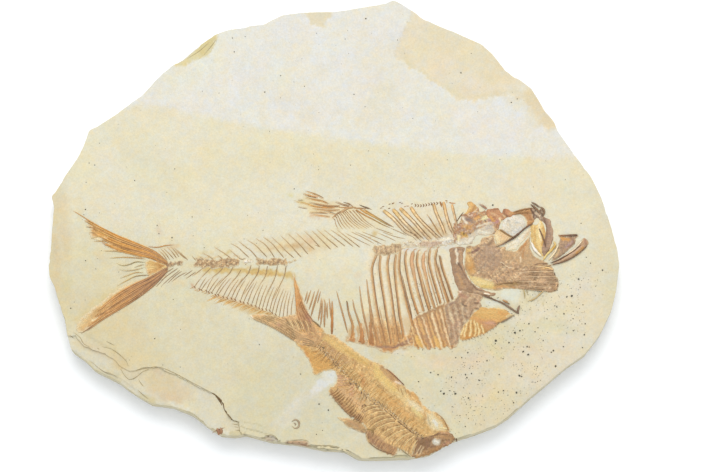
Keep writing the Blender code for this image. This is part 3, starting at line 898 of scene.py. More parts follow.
innerRibs = lines("""
42.6,-20 44.6,-28 46.6,-35 48.4,-41.5 / 46.2,-14 47,-22 48.8,-29 50.8,-36 51.8,-40 / 48.2,-19 49.6,-26
51.4,-33 52.8,-39 / 50,-17 51.2,-24 53.2,-31 55.2,-38 / 52,-18 53.8,-26 56,-33 57.8,-37.6 / 34,-24 36,-33
38,-41 39,-46 / 28.8,-44 29.6,-50 30.6,-56 / 22.6,-40 24,-47 25,-52 / 32.4,-40 33.4,-47 35,-53
""")
ribs = alike(mainRibs, [1.0, 1.15, 1.1, 1.05, 1.1, 1.2, 1.0], "c4a27a bb966c b59068 b08a62 b58c60 b8895a")
ribs[6] = (mainRibs[6], [2.0, 2.2, 1.4, 1.1, 1.1], "cfa680 c9a27a bf9a70 b08a62")
ribs[8] = (mainRibs[8], [1.9, 2.0, 1.3, 1.1, 1.1], "cfa680 c9a27a bf9a70 b08a62")
ribs[11] = (mainRibs[11], [0.9, 1.0, 1.1, 1.0], "b08a62 a8845c 94704e")
# each rib has split along its length: a dark hairline down one flank, a pale one down the other
for k, line in enumerate(mainRibs):
    flank = 0.42 if k % 2 else -0.42
    ribs.append((beside(line, flank), [0.25, 0.45, 0.4, 0.4, 0.3], "8f7250 86684a 8f6c4c 7d6044 94704c", 0.2))
    ribs.append((beside(line, -1.3 * flank), [0.2, 0.4, 0.5, 0.4, 0.3],
        "dcc29a d8b98c dcc49c d2ae7c cfa672", 0.16))
for line in mainRibs[4:11]:  # the heads of the ribs hook over towards the backbone
    (x, y), (lowX, lowY) = line[:2]
    ribs.append(([(lowX, lowY), (x, y), (x + 0.5, y + 1.0), (x + 1.7, y + 1.3)], [0.9, 0.9, 0.7, 0.4],
        "bf9a72 c8a680 c4a080"))
ribs += alike(innerRibs, [0.4, 0.6, 0.65, 0.5], "c8a880 b08c64 a07c58", "d6bc94 c4a47c b08a64",
    "b8966c a07c58 94704e")

rearRibs = drawn("""
-13.2,-32 -13.8,-35 -14.6,-37.6 .8
-11.4,-31.5 -12.6,-35 -13.6,-38.6 .8
-9.6,-32 -11,-37 -12.4,-41.6 .8
-7.5,-31 -9,-36 -10.4,-41 -11.4,-45 1
-6.6,-32 -7.4,-35 -8.2,-38.2 .7
-6.2,-35.4 -6.6,-40 -7.8,-47 .9
-5.6,-36.4 -6,-43 -6.6,-49.6 .9
-5,-36 -4.3,-39 -4.7,-45 -4.7,-50.4 1.1
-3.2,-38 -3.4,-42 -3.2,-46 .8
-2.4,-35.6 -1.9,-40 -1.4,-46 .8
1.3,-32 3.4,-40 5.3,-47 6.8,-53 .9
12.7,-29.5 13.6,-37 14.8,-44 16.4,-51 17.4,-57 1
16.3,-26 17.2,-34 18.4,-42 19.8,-50 20.8,-57 1.2
9.3,-36 10.2,-41 12,-46.5 .8
21.3,-52 22.4,-56 23,-60 .9
""")
loose = [(line, [share * float(width) for share in (0.5, 1, 1.05, 0.6)], "c4a680 b08c66 a8845c")
    for line, (width,) in rearRibs]
loose += bones("""
-.9,-37 -.8,-43 -.9,-49 -1,-54 .8 1.1 1.5 1.2 tanBone b98550 b47c46 8d6440
6.4,-37 7.4,-43 9,-48 9.3,-52 8.4,-56.4 .8 1 1.2 1.2 .8 7d6044 a8845c b08a5e b98a58 b07c48 .16
10.6,-42 12.2,-47 13.4,-51 13.4,-57.6 .6 1 1.3 .9 a89070 b08a5e b98a5c b97c46 .16
17.6,-40 18.4,-46 18.3,-52 18.2,-58.8 .6 1 1.3 .9 b59672 b08a5e ac7f58 a87648 .16
""")

# the belly's edge: amber film between the feet of the ribs, and the feet that have kept their fan shape
bellyFilm = spots("""
16.4,-59.5 17,-53 18,-47 21,-44.6 25,-46.4 29,-45 33,-47.6 34.2,-52.4 35.6,-54 37.4,-52 38.4,-47 41,-48
41,-56 39.4,-59.8 36,-60.2 33,-60.9 30.4,-62.2 28.6,-63.3 25,-62.8 21.6,-60.9
""")
bellyMarks = marks("""
15,-43 36,-43 36,-49 15,-49 dcc197 5 .8
17,-50 24,-50 24,-60 17,-60 c28f5e 3 .5
20,-60.4 24,-60.2 30,-60.3 34,-58.6 38.4,-56 8f7062 1.4 .85 1
29,-60.6 34,-59.4 39,-57.6 7d6258 .9 .7 .7
21,-61 25,-62.4 28.6,-63 c8965c 1.2 .7 1
24,-61.4 30,-61.2 b07c54 1.2 .6 1
30.4,-56 33,-57 d8ac74 1.6 .5 1.6
""")
bellyMarks += [([(x, y), (x + 1.4, y - 6), (x + 2.4, -58.4)], tone, 0.7, 0.75, 0.6)
               for [(x, y)], (tone,) in drawn("""
18.6,-50 e0c190 21,-47 e9cfa0 22.8,-48 d8bc86 25.4,-46.6 e6cf9c 27.4,-49 dab982 30,-46.6 ecd6a8 32.8,-49
d8b888 35.6,-52 ecd8b4 38,-50 e0c494
""")]
bellyMarks += [([(x, y), (x + 1, y - 5), (x + 1.6, -59.4)], "9c7350", 0.8, 0.6, 0.6)
    for x, y in spots("20,-50 22,-50 24.2,-50 26.6,-50 28.6,-51 31.4,-50 39,-50")]
ribFeet = lines("""
9.6,-46.6 8.9,-52 8,-54.6 6.3,-56.8 7,-57.5 10.6,-57.6 10.5,-53 10.1,-48 / 13,-48.6 12.8,-53 11.4,-57.4
11.6,-58.3 15.8,-58.5 15.4,-54 14.3,-49 / 17.2,-47.6 17,-53 16.2,-58.4 17,-59.4 20.4,-59.6 20.2,-54 18.9,-48
""")
footMarks = [([(x - 2, -57.7), (x + 2.2, -58.3)], "86603e", 0.9, 0.7, 0.7) for x in (8.6, 13.6, 18.4)]
footMarks += [([(x, -50), (x - 0.8, -56)], "d8ac70", 0.8, 0.7, 0.7) for x in (9.8, 13.6, 18)]
footMarks += [([(x, -50), (x + 0.2, -56.6)], "94683c", 0.7, 0.6, 0.4) for x in (10.2, 14.6, 19.4)]
bellyLook = dict(tone="c69a66", height=0.14, mottle=0.16, ragged=0.5, fade=1.2, streaks=[(8, 60, 0.7, 0.16)])
finishPiece(platePiece("largeFishBelly", [
    (bellyFilm, bellyLook, bellyMarks)] + [
    (foot, dict(bellyLook, tone="bb8656", height=0.3, fade=0.7, ragged=0.25), footMarks)
        for foot in ribFeet], fossilFilm), nodesNamed("large_fish_rib_cage"))

print("ribs")
finishPiece(strandPiece("largeFishRibs", ribs, fossilBone, ribLook),
    nodesNamed("large_fish_rib_cage", "large_fish_front_rib"))
finishPiece(strandPiece("largeFishRearRibs", loose, fossilBone, ribLook), nodesNamed("large_fish_loose_rib"))

# spines along the back, tip first
backSpines = lines("""
-87.8,-11.4 -85.4,-13.4 -83.4,-16.4 / -83.4,-9.6 -80.8,-12.4 -78.6,-15.4 / -81.6,-9.4 -79.4,-12 -77.4,-14.8
/ -85.2,-10.4 -82.5,-13 -80,-15.8 / -86.6,-10.6 -84.4,-12.8 -82,-16.2 / -80,-10.2 -77,-12.6 -73,-16.3 /
-79.2,-11.4 -76.4,-13.8 -74.2,-15.6 / -71,-14.2 -69,-16.6 / -67,-14.8 -65,-16.2 / -65.6,-12.8 -62,-14.8
-59.4,-17 / -59.8,-9.8 -56.4,-12 -53.4,-14 -51.2,-15.8 / -58,-14 -56.4,-15.2 -55,-16.6 / -52.2,-11
-49.8,-13.2 -46.4,-16 -44.2,-15.6 / -51.5,-8 -48,-10 -45,-12.8 -42.4,-15.1 / -47.7,-7 -44,-9.8 -41.4,-11.8
-38.4,-15.3 / -43.5,-6.2 -39.2,-8.9 -36.4,-11.8 -33.4,-15 / -39,-5.5 -34.6,-8.4 -32.4,-11 -29.6,-15.2 /
-35.2,-4.8 -31,-8 -28,-11.6 -25,-15.2 / -31.4,-4.6 -27,-8.6 -24,-11.8 -20,-15.3 / -26.6,-4 -22,-8.6 -19,-12
-16.4,-14.9 / -23,-3 -17.6,-8 -13,-13.4 / -19,-2.4 -13.4,-7.8 -9.8,-11 / -14.8,-1.7 -11,-5.4 -7,-9.8 /
-11,-1.5 -6,-6.5 -1.6,-11 / -8.6,-.8 -4,-5 2,-10 / -5,-1 0,-5 5.6,-9.4 / -1.6,-1 4,-5 9.6,-9.6 / 1.5,-1
7,-5.3 13,-10
""")
thinBones = lines("""
5.6,-2.6 12.6,-6.4 18,-9 / 8.4,-2 14,-4.6 20,-8 / 10.4,-2 17,-4.8 22,-7.6 / 14,-2 20,-4.4 26,-6.8 / 20,.2
24.4,-1.4 29.4,-3.2 / 24,-2 30,-4.3 35.6,-5.6 / 28,0 32,-1.8 36.6,-4 / 17,-5 21,-6.8 24,-8.4 / 22,-2.6
27,-4.8 31,-6.8 / -9.8,-8.6 -6.8,-9.8
""")
bellySpines = lines("""
-65.8,-20.8 -68,-22.6 -70.8,-24.6 / -61.6,-20.6 -64,-23 -66.4,-25.4 / -55.4,-20.4 -57.4,-22.6 -61,-25.4 /
-50.4,-19.8 -52,-23 -55.4,-26.4 -58.4,-30 / -46.4,-21.4 -48.2,-24.4 -52,-29 / -41.4,-19 -42.6,-22.8 -46,-27
-49.8,-32 / -37.2,-19.4 -38.2,-23.4 -41.6,-28.6 -45,-34 / -33.2,-19.4 -34.2,-24.4 -37,-29 / -28.2,-19.4
-29.2,-24.6 -31.6,-30 -34,-35 / -23.8,-18.8 -24.8,-24.4 -27.8,-31 -30.4,-37
""")
tailSpines = lines("""
-91.2,-30 -86,-24.6 -80,-20.3 / -88.6,-30 -84,-25 -78,-20.6 / -86,-29.4 -81.6,-25.4 -77,-21.6 / -83,-28.2
-79.4,-24.6 -76,-22 / -93,-30.6 -87.6,-24.6 -82.4,-20.2 / -81,-27.4 -77,-24.4 -73.6,-22.6 / -75,-24.6
-70.6,-21.6 / -73.8,-25.8 -69,-22.4
""")
spines = alike(backSpines, [0.35, 0.42, 0.5, 0.55], "cdb490 b0956f 947a5a")
spines += alike(thinBones, [0.35, 0.42, 0.35], "c8b08a a8906e b89c78")
tailward = alike(bellySpines, [0.6, 0.5, 0.45, 0.4], "947a5a a48a66 b0956f cdb490")
tailward += alike(tailSpines, [0.3, 0.45, 0.5], "a08870 94785f a08a6c")

# the fin under the tail: supports between two guides, a knob at each foot and a short ray beyond
supportTops = spots("""
-66,-25 -59,-24.6 -52,-25.6 -46,-25.8 -40,-27.5 -34.5,-28.4 -29,-30 -24,-31 -20,-34
""")
supportFeet = spots("""
-69.3,-30 -63.5,-32 -58.3,-34 -51.5,-35.5 -45,-37.8 -38.5,-39.5 -33,-41.5 -27.5,-44.3 -21.5,-46.8
""")
analFin = []
for k, line in enumerate(combRow(supportTops, supportFeet, 27, 0.03)):
    fx, fy = line[-1]
    analFin.append((line, [0.34, 0.44, 0.48], "c4ac86 a88c68 947a58"))
    analFin.append(([(fx - 0.5, fy + 0.4), (fx + 0.1, fy - 0.1), (fx + 0.5, fy - 0.8)], [0.6, 0.85, 0.5],
        "a8835c 94704e 94704e"))
    if fx > -60 and k < 24:
        for part in range(3):
            sx, sy, reach = fx + 0.65 * part, fy - 0.24 * part - 0.7, 3.4 + 1.1 * ((2 * k + part) % 4)
            analFin.append(([(sx + 0.2, sy), (sx - 0.5 * reach, sy - 1.0), (sx - reach, sy - 2.3)],
                [0.34, 0.3, 0.15], ["b08450 c8a064 dcc08c", "d0ac70 dcbc84 e6d2a2",
                "bc9258 d0ac70 e0c896"][part]))
    if k < 9:
        analFin.append(([(fx - 0.6, fy - 0.3), (fx - 2.4, fy - 0.9)], [0.7, 0.4], "b98c5c d3b684"))

dorsalFin = bones("""
-14.4,18.8 -11,17.8 -7.6,16.4 -5,15 .5 .9 1 .6 c29b64 bb9463 9f815c 9f815c
-15.4,17.5 -12,16.4 -8,15.6 .5 1.2 .8 ceab76 cea06b ce9b70
-14.2,15.7 -10,14.5 -6,13.8 -2.6,12.3 .5 1 .9 .6 ceb889 bb9463 bb9463 9f8666
-18,14.6 -15.4,14.2 .4 .5 c8bb9c bbab89
-20,13.8 -15,12.8 -10,11.1 -5,10.4 .6,10.5 .5 .8 1 1.2 1 d5c496 ceb176 c89e63 c2955e bb8c59
-12.6,13.2 -8,12.1 -3,11.3 3,11.2 .4 .9 1 .8 c8bb9c b5946c b5946c aa8861
-11,9.8 -6,9.2 -1,9 3,9.2 .5 .9 1 .8 c8a46c b58e5e b5946c aa8861
-18,11 -13.4,10.1 .4 .5 d5c8a3 ceb889
-5,8.6 -2,8 1,7 .5 .6 .6 ae9e83 95846c 95846c
-12.4,8 -6,8 -3,7.6 .4 .8 .5 d5bb89 ceab76 bb9c71
-10.6,6.8 -5,6.1 -2,5.7 .4 .9 .6 d5ab7c c89e70 b5946c
.8,13.5 4,12.2 8,11.2 .4 .7 .9 c8b189 b5946c 9f8160
4.6,13 7.4,12.2 9.6,10.8 .6 1.1 .9 836e53 92785c 9f8160
-1,4.9 1.4,7 3.4,8.4 .9 1.3 1.2 cba176 9f8160 9f8160
3,7.6 5.4,9.2 8,10.2 11,10.4 1.2 1.9 1.8 1 b59470 bb9b73 ae8e66 bb996e
12.6,11.7 14.4,10.9 17.4,9.8 19,9.2 .5 1.2 1.3 .5 6d5b46 76614b 76614b 9f8666
10,9.9 13,9.9 16,9.7 1 1.4 1 b5946c ae8b63 ae8b63
2.4,10.4 6,10.3 9,10.8 .7 .9 .6 c2955e b58a5e b5946c
""")
dorsalFin = [(line, [0.72 * w for w in widths], tones) for line, widths, tones in dorsalFin]
for k, (line, widths, tones) in enumerate(list(dorsalFin[:12])):  # split rays beside the whole ones
    dorsalFin.append((beside(line, 0.55), [0.25, 0.4, 0.4], ["e0c48c d8b07c c8a070",
        "a88460 94704e 8d6c4c"][k % 2]))
finTops, finFeet = spots(".2,4.5 3.3,7 6,8.2 11.6,8.5"), spots("2.1,-.9 9,-.7 15.9,-.5 20.4,.3")
for line in combRow(finTops, finFeet, 11, 0.06, 0.1):
    dorsalFin.append((line, [0.42, 0.44, 0.3], "a8835c b0906a c8b08a"))
    x, y = line[0]
    dorsalFin.append(([(x - 0.9, y + 0.5), (x, y + 0.1), (x + 0.3, y - 0.9)], [0.4, 0.75, 0.4],
        "b08a60 94704e 9c7854"))
dorsalFin += bones("""
11,9.2 15,6.6 20,4 24,1.8 28,0 .9 .8 .7 .6 .4 b08450 b98c56 a58a58 9a7f5e
13,9.4 17,7.2 22,4.4 26,2 29,.6 1.2 1.1 1 .8 .5 c4975c c8a262 b09660 94785a
15,9.5 20,6.2 25,3.2 30,.2 .8 .7 .6 .4 c0985c b08e5c 94785a 8d7254
""")
neckBones = bones("""
24.6,9 27,7 30,4.4 33.6,.4 36,-2 40,-4 42,-6 1.5 1.9 .9 .6 .6 .5 .3 ceae78 e0c898 e6d4b0 dcc8a6 d0ba98
ccb694 d8c8a8
29.4,9.6 32,6.6 35,3 37.4,.6 40.4,-2.6 43,-5 44.6,-6.4 1.6 2.1 1.3 .8 .8 .6 .3 ccaa72 dcc088 e6d0a8 dcc6a0
d2ba94 ccb490 d8c8a8
33,10 36.6,6.4 40,3 43,-.6 46,-4 48.4,-6.4 2.1 1.8 1.1 .8 .8 .4 ceac74 dec290 e4cea8 dcc49e d0b692 d2ba98
38.4,10.6 41,6.6 44.6,2.4 48,-1 51,-4 53,-5.8 2 1.7 1 .8 .8 .4 ceae7c dcc090 e0c8a0 d8c09a ceb490 d2ba98
46.4,6.8 48,4.6 50.2,1 52,-2 54.2,-4.8 .3 .5 .6 .6 .4 ccb898 9c8260 9c7c54 ac8a60 b89874
49.8,12.2 51,8 52.7,4 54,1 55.6,-3.4 1.3 1.6 1.4 1.2 .6 ccaa7a d8bc90 dec6a0 d4ba92 ceb490
54.8,13.2 55.9,8 57.2,3 59,-1.6 60,-3.4 1.7 1.6 1.4 1 .5 caa470 d4b484 dcc29a d0b48c ceb490
59,12 60,7.4 61,3 61.4,.6 1.3 1.3 1.1 .7 c8a272 d0b086 d0b28c c0a07c
57,1.6 58.4,-1 60.2,-3.4 .5 .7 .4 dcc8a8 c8ac8c b89c7c
64.8,8 62.6,5 60.8,2 .4 .6 .5 6a543c 7a6048 8d7254
53,13.4 53.6,12 54,10.4 .8 1 .5 94683c a87848 b58c58
56.6,13.6 56.4,12.6 .9 .8 b8863c c89a50
58,12.6 60.8,12.4 .6 .7 b88c60 c89c74
""")
# dark hairlines down the flanks of the broad ones
for k, (line, width, tone) in enumerate(list(neckBones[:8])):
    neckBones.append((beside(line, -0.36 * width[1]), [0.2, 0.3, 0.4, 0.4, 0.3],
        "b8945c a07c50 94744e 8a6c4c 9c8060", 0.12 * width[1]))
    if k not in (4, 7):
        neckBones.append((beside(line, 0.42 * width[1]), [0.2, 0.3, 0.3, 0.2], "b8904c a8845c a08060",
            0.12 * width[1]))
neckLines = [line for line, width, tone in neckBones[:8]]
ridgeKnobs = spots("23.6,10 24.6,10.8 27.6,9.8 27.8,12 29.4,12.2 33,12.8 34,12.4 39,12.1")
neckBones += alike([[(x - 0.5, y - 0.1), (x + 0.5, y + 0.15)] for x, y in ridgeKnobs], [0.9, 1.1],
    "7d5d43 8a6848")
# a row of little hooks along the crest
for x, y in zip(np.arange(40.8, 52.8, 1.35), spread([11.4, 11.2, 11.6, 12.2, 12.4], 9)[:, 0]):
    neckBones.append(([(x - 0.5, y + 0.75), (x + 0.4, y + 0.1), (x - 0.4, y - 0.8)], [0.5, 0.75, 0.5],
        "8d6a48 74563c 94704c"))
neckBones += [([(x - 0.5, y - 0.1), (x + 0.6, y + 0.1)], [0.8, 0.9], "94683c b58a50")
    for x, y in spots("29.6,12.6 35.6,10.8 37,11 49,12 52,12.6 54.6,12 56.2,13.8 58,12.8")]

print("spines and fins")
finishPiece(strandPiece("largeFishBackSpines", spines, fossilBone, spineLook),
    nodesNamed("large_fish_loose_spine"))
finishPiece(strandPiece("largeFishBellySpines", tailward, fossilBone, spineLook))
finishPiece(strandPiece("largeFishAnalFin", analFin, fossilBone, spineLook),
    nodesNamed("large_fish_anal_fin"))
finishPiece(strandPiece("largeFishDorsalFin", dorsalFin, fossilBone, dict(spineLook, ragged=0.55)),
    nodesNamed("large_fish_dorsal_fin"))
finishPiece(strandPiece("largeFishNeckBones", neckBones, fossilBone,
    dict(ribLook, flat=0.26, mottle=0.22, edge=0.06, slim=1)), nodesNamed("large_fish_neck_bone"))

# the backbone: broken centra, grey-brown and crazed, parted by dark seams
def strip(line, width):  # the outline of a band along a line
    path = curve(line, 1.2)
    side = normals2d(path) * width / 2
    return np.vstack([path + side, (path - side)[::-1]])


def centra(line, width, pitch, look):
    path = curve(line, 0.2)
    side = normals2d(path) * width * 0.46
    joints = []
    for k in range(int(pitch * 2.5), len(path), int(pitch * 5)):
        a, b = path[k] + side[k], path[k] - side[k]
        joints.append(([a, path[k], b], "6b5446", 0.6, 0.5, 0.4))
    for sign in (-1, 1):
        joints.append(((path + side * sign)[::8], "8a7058", 0.6, 0.5, 0.4))
    return strip(line, width), look, joints


centrumLook = dict(tone="cbac80", height=0.5, mottle=0.16, crumple=0.14, relief=0.2, grid=0.36, edge=1.1,
    ragged=0.7, fade=0.7, crazing=[(1.1, "ccb088 dcc69e ae9070 c0a27c e0cca6 a48666", 0.25, "705848",
    0.65)])
crushedLook = dict(tone="d6cfbc", height=0.3, mottle=0.1, crumple=0.14, relief=0.2, grid=0.4, ragged=0.9,
    fade=0.8, crazing=[(1.2, "e6e2d8 dcd6c8 f0eee8 c9bda6 e9e4d6 b5a288", 0.25, "8d7a66", 0.7)])
finishPiece(platePiece("largeFishBackbone", [
    centra(spots("-69.4,-17.6 -64,-18.4 -58,-18.2 -52,-17.8 -47.2,-17.6"), 4.8, 2.5, centrumLook),
    centra(spots("-38.6,-17.3 -31,-17.3 -23.4,-17.2"), 3.6, 2.4, centrumLook),
    centra(spots("20,-11.6 24,-11.4 29,-10.9 34,-10.4"), 5.4, 2.5, dict(
        centrumLook, tone="c8ac86", crazing=[(1.1, "ccb28c dcc8a4 b4967a c8b08c", 0.25, "8a745c", 0.55)])),
    centra(spots("-84.4,-19.2 -80,-18.1 -75.8,-18.3"), 2.4, 2.2, dict(centrumLook, tone="94795f")),
    (strip(spots("-22.4,-17.4 -20.6,-17 -18.8,-16"), 1.0), centrumLook, []),
    (strip(spots("-44.6,-17.6 -42.6,-16.8 -40.6,-17.6"), 1.6), dict(crushedLook, tone="d8ceb6"), []),
    (strip(spots("34,-8.6 40,-8.4 47,-8.6 54,-7.6 60.4,-6.4"), 3.6), crushedLook, marks("""
34,-9 42,-9 dcd4bc 2 .6 3
44,-8 52,-8 c2a68c 2 .7 4
38.4,-7 38.6,-7.2 4c3a30 .4 .9 .7
43,-8 43.2,-8 4c3a30 .4 .9 .6
45,-10 45.2,-9.8 4c3a30 .4 .9 .6
46,-11 48,-10.6 a88a78 .9 .8 1.2
49,-8 51.4,-8 b39a88 .9 .7 1.2
35,-7.6 37.4,-9.6 a08a6c .9 .6 .9
52.6,-6 57,-5.8 eae6d6 .8 .9 1.6
40,-8.6 42,-10 b59c80 .8 .6 .9
55,-9 58.6,-8 c9b8a0 .8 .7 .8
"""))], fossilFilm),
    nodesNamed("large_fish_middle_backbone", "large_fish_rear_backbone"))

# the tail: two lobes of film, each with its rays fanning out of the last vertebrae
upperLobe = spots("""
-82.4,-17.4 -85.8,-14.8 -89.4,-11.6 -93.4,-9.2 -99,-7.4 -103,-5.4 -110.6,-2.6 -115,-.6 -120,1.8 -124,1.4
-122,-.6 -122.4,-3 -121,-5.8 -115,-6.6 -112,-6 -114,-8.6 -108.4,-12.2 -103,-13.4 -96.6,-15.2 -92.8,-15.3
-87.4,-16.9 -84,-18.8
""")
upperMarks = marks("""
-83,-17.8 -90,-14.2 -97,-12 -103,-10 8d6a58 2.2 .85 2.2
-92,-9.8 -99,-7.8 -106,-4.8 -118,.4 c2984a 1.4 .85 1
-111,-4.4 -117,-5 -121,-4.4 -118,-6.2 -112,-6.4 e6dab6 .8 .9
-120,1 -114,-2.2 -110,-3.6 cb9a55 1.6 .8 2.2
-98,-14.6 -104,-12.6 -112,-9.4 cfa46c 1.4 .7 1.6
""")
lowerLobe = spots("""
-82,-19.4 -87,-21.4 -92,-24.2 -95,-26.2 -99.5,-27 -104.4,-29.4 -110.5,-32.8 -114.5,-36.4 -120,-40.6 -125,-45
-128.4,-49.6 -127.6,-52.4 -124.6,-52.8 -118.4,-49.4 -113,-45.8 -109,-43.6 -103,-39.4 -96.6,-35.4 -91.6,-31.6
-87.6,-28 -84,-24.4 -82,-20.8
""")
lowerMarks = marks("""
-130,-50 -120,-40 -110,-32 -100,-27 -98,-30 -108,-37 -118,-46 -126,-54 d0b07c 3 .75
-83,-21 -90,-26.6 -96,-31 -103,-36 -110,-41 8f7460 2.6 .9 3
-88,-24 -95,-28.4 -100,-31 7d6454 1.6 .7 1.2
-94,-32.8 -98,-35.6 -104,-39 -107,-40.6 c0824e 1.4 .8 1.2
-100,-28.8 -108,-33 -116,-39.6 d6b67e 2.2 .8 1.6
-128,-51 -122,-45 d8c292 2.6 .7 2
-90,-29.4 -94,-31.6 d8a860 1.2 .8 1.4
-120,-47 -116.4,-44.6 e9dab0 .8 .8 1
""")
hypural = spots("""
-83,-18.6 -88,-16.4 -93,-16.2 -94.4,-19 -93.6,-22 -92.4,-24.6 -88,-23.4 -84,-21 -82.4,-19.8
""")
hypuralMarks = marks("""
-84,-19 -93,-17.6 d8b672 .8 .9 1.6
-84,-20 -92,-22.8 c8965c 1 .7 .9
-84.6,-19.6 -93.6,-20.4 dfc488 .8 .9 1.6
-84,-18.6 -90,-16.8 b07c58 .8 .7 .8
""")
finishPiece(platePiece("largeFishTailFilm", [
    (upperLobe, dict(tone="cba068", fade=2.2, height=0.22, grid=0.42, ragged=0.4, mottle=0.12,
        streaks=[(-76, -19, 0.55, 0.2)]), upperMarks),
    (lowerLobe, dict(tone="c89c68", fade=2.4, height=0.22, grid=0.42, ragged=0.4, mottle=0.12,
        streaks=[(-74, -13, 0.55, 0.2)]), lowerMarks),
    (hypural, dict(tone="d6b47c", height=0.2, fade=1.3, mottle=0.14, ragged=0.5), hypuralMarks)],
        fossilFilm), nodesNamed("large_fish_tail_fin"))
rays = []
fans = [
    (between(spots("-83,-17.2 -89.6,-11.9 -98,-8 -108,-4.2 -118,.8 -130.4,8.4"),
        spots("-83.4,-18.7 -91,-15.8 -98,-14.2 -105,-12.6 -110,-10.8 -114.6,-9.2"), 19),
        ["be9153 cf994c d39b4a cd944a", "a87c50 af7c43 bb8345 bf894a", "b68d5b cd9e62 dfb168 dfb368",
        "9d7451 a87c50 bf8b4c c99850", "956f50 956f4a a2784b b68950", "af865c c99b66 dbb171 dfb775",
        "8f694c 98704c a87e4c be9156", "b68b5f c2945c cf9e5c d4a662"]),
    (between(spots("-83,-19.9 -91,-24.4 -99.5,-28.4 -107,-32.6 -113,-37.4 -118.6,-43"),
        spots("-83.2,-22.4 -89.4,-28.8 -97,-35 -105,-40.4 -114,-46 -124,-53.2"), 25),
        ["c6975e d1a167 d4a86a d7af73", "906d52 a27952 b88452 c29461", "83614c 8a684f a2764f b78a5b",
        "a98464 c2976e d7ab73 dbb580", "7b5a46 856146 976e48 ad8155", "ad8461 bb8d5e c6945b d1a56e",
        "8a6a52 926e4f 9c764f b78d61", "a28061 bb9067 cd9e67 d7ab73", "8a6851 976e51 a9794c bb8d5b"])]
tipShake = np.random.default_rng(8)
for fan, tones in fans:
    for k, line in enumerate(fan):
        line = np.array(line)
        line[-1] = line[-2] + (line[-1] - line[-2]) * tipShake.uniform(0.45 if k else 1.0, 1.05)
        line += tipShake.normal(0, 0.12, line.shape)
        rays.append((line, [0.55, 0.6, 0.6, 0.55, 0.45, 0.3], tones[k % len(tones)]))
rays += [(line, [0.4, 0.5, 0.35], " ".join(tones)) for line, tones in drawn("""
-94,-15.9 -98,-15.4 -105,-15 -112,-15.4 b08a58 c09a60 cbb078
-94.4,-17.6 -98.6,-17.3 -102,-18.6 -105.6,-19.2 -108.6,-18 a08c60 98865a c8bc92
-94.6,-18.6 -97,-19.2 -99.6,-20.2 a8906c b8a684
-95,-20.2 -98.4,-21.2 -103,-21.8 -107,-21.2 b89c70 c0aa80 d6cba6
-95,-22.8 -99,-22.8 -103,-24.2 -106.6,-25.6 b89460 c8a870 d6c498
-92,-24 -96,-24.2 -99.4,-24.8 -103.4,-26.8 -108,-29.4 8d7254 a08458 d0b070 d8c290
-96,-15 -101,-13.4 -108,-12 -115,-11.8 a8835c c09a60 cbb078
-98,-12.6 -104,-10.4 -110,-9 -114.6,-9.2 94705a b08450 c09a60
-103,-9.4 -108,-7.4 -113,-6.8 -120,-7 94705a b08450 d0b070
-108,-6 -113,-4.2 -118,-4.6 -121.6,-5.6 b08450 c09a50 d0b070
-110,-4.6 -116,-2.8 -120,-2.4 -122.6,-2.6 b08450 c09a50 b59a76
-112,-2.6 -118,-.4 -124,.3 b98450 b08450 94785a
-80,-8.7 -84,-9 -88,-9.9 -93,-9.6 c8965c c0883c b98450
-125.6,-53.4 -122,-51 -118,-48 a08058 94705a 8d6a54
""")]
# fine lines fanning over the pale plates between the lobes
rays += alike([[(-84.4, -19.3), (-88.6, -19.4 + (end + 19.4) * 0.45), (-93.4, end)]
    for end in (-16.6, -17.8, -19, -20.4, -21.8, -23.2)], [0.3, 0.35, 0.2], "b88c58 c89c62 dcb87c")
finishPiece(strandPiece("largeFishTailRays", rays, fossilBone,
    dict(spineLook, ragged=0.3, taper=3.0, lift=0.24)))

# the head, crushed flat: plates of broken skin bone, each a thin sheet crazed into fragments
skinTones = "c2a27a d2b088 b29270 caa880 dcc094 a48568"
darkTones = "ac8e72 9a7e66 bc9e7c b49676 8c725c"
warmTones = "c89a70 bc8258 d4ac78 ac8060 dcbc88 b8947e 9a745c"
lightTones = "e6e0d2 d8d2c6 c9c0b0 eae6da dcd0b4"
gillCover = spots("""
66.5,-9 70,-9.2 73,-7.5 74,-5.2 77,-4.3 79.5,-3.8 80.2,-5.5 81,-8 83,-9.6 86,-9.8 86,-11.3 91,-11.6 93,-9.5
96,-6.5 98.3,-3.2 98,-7 98,-10 99,-12.5 101,-15 104,-16.5 107,-18.5 109.5,-20.5 110,-23.5 111.8,-26
112.3,-28.5 111.6,-31.2 110,-32.3 107.5,-33 105,-32 100,-31.3 95,-31.5 90,-31 86,-31 81,-31.8 77,-31.5
73,-30.5 70.5,-29 68,-26.5 66.3,-23 65,-19 65.3,-14.5
""")
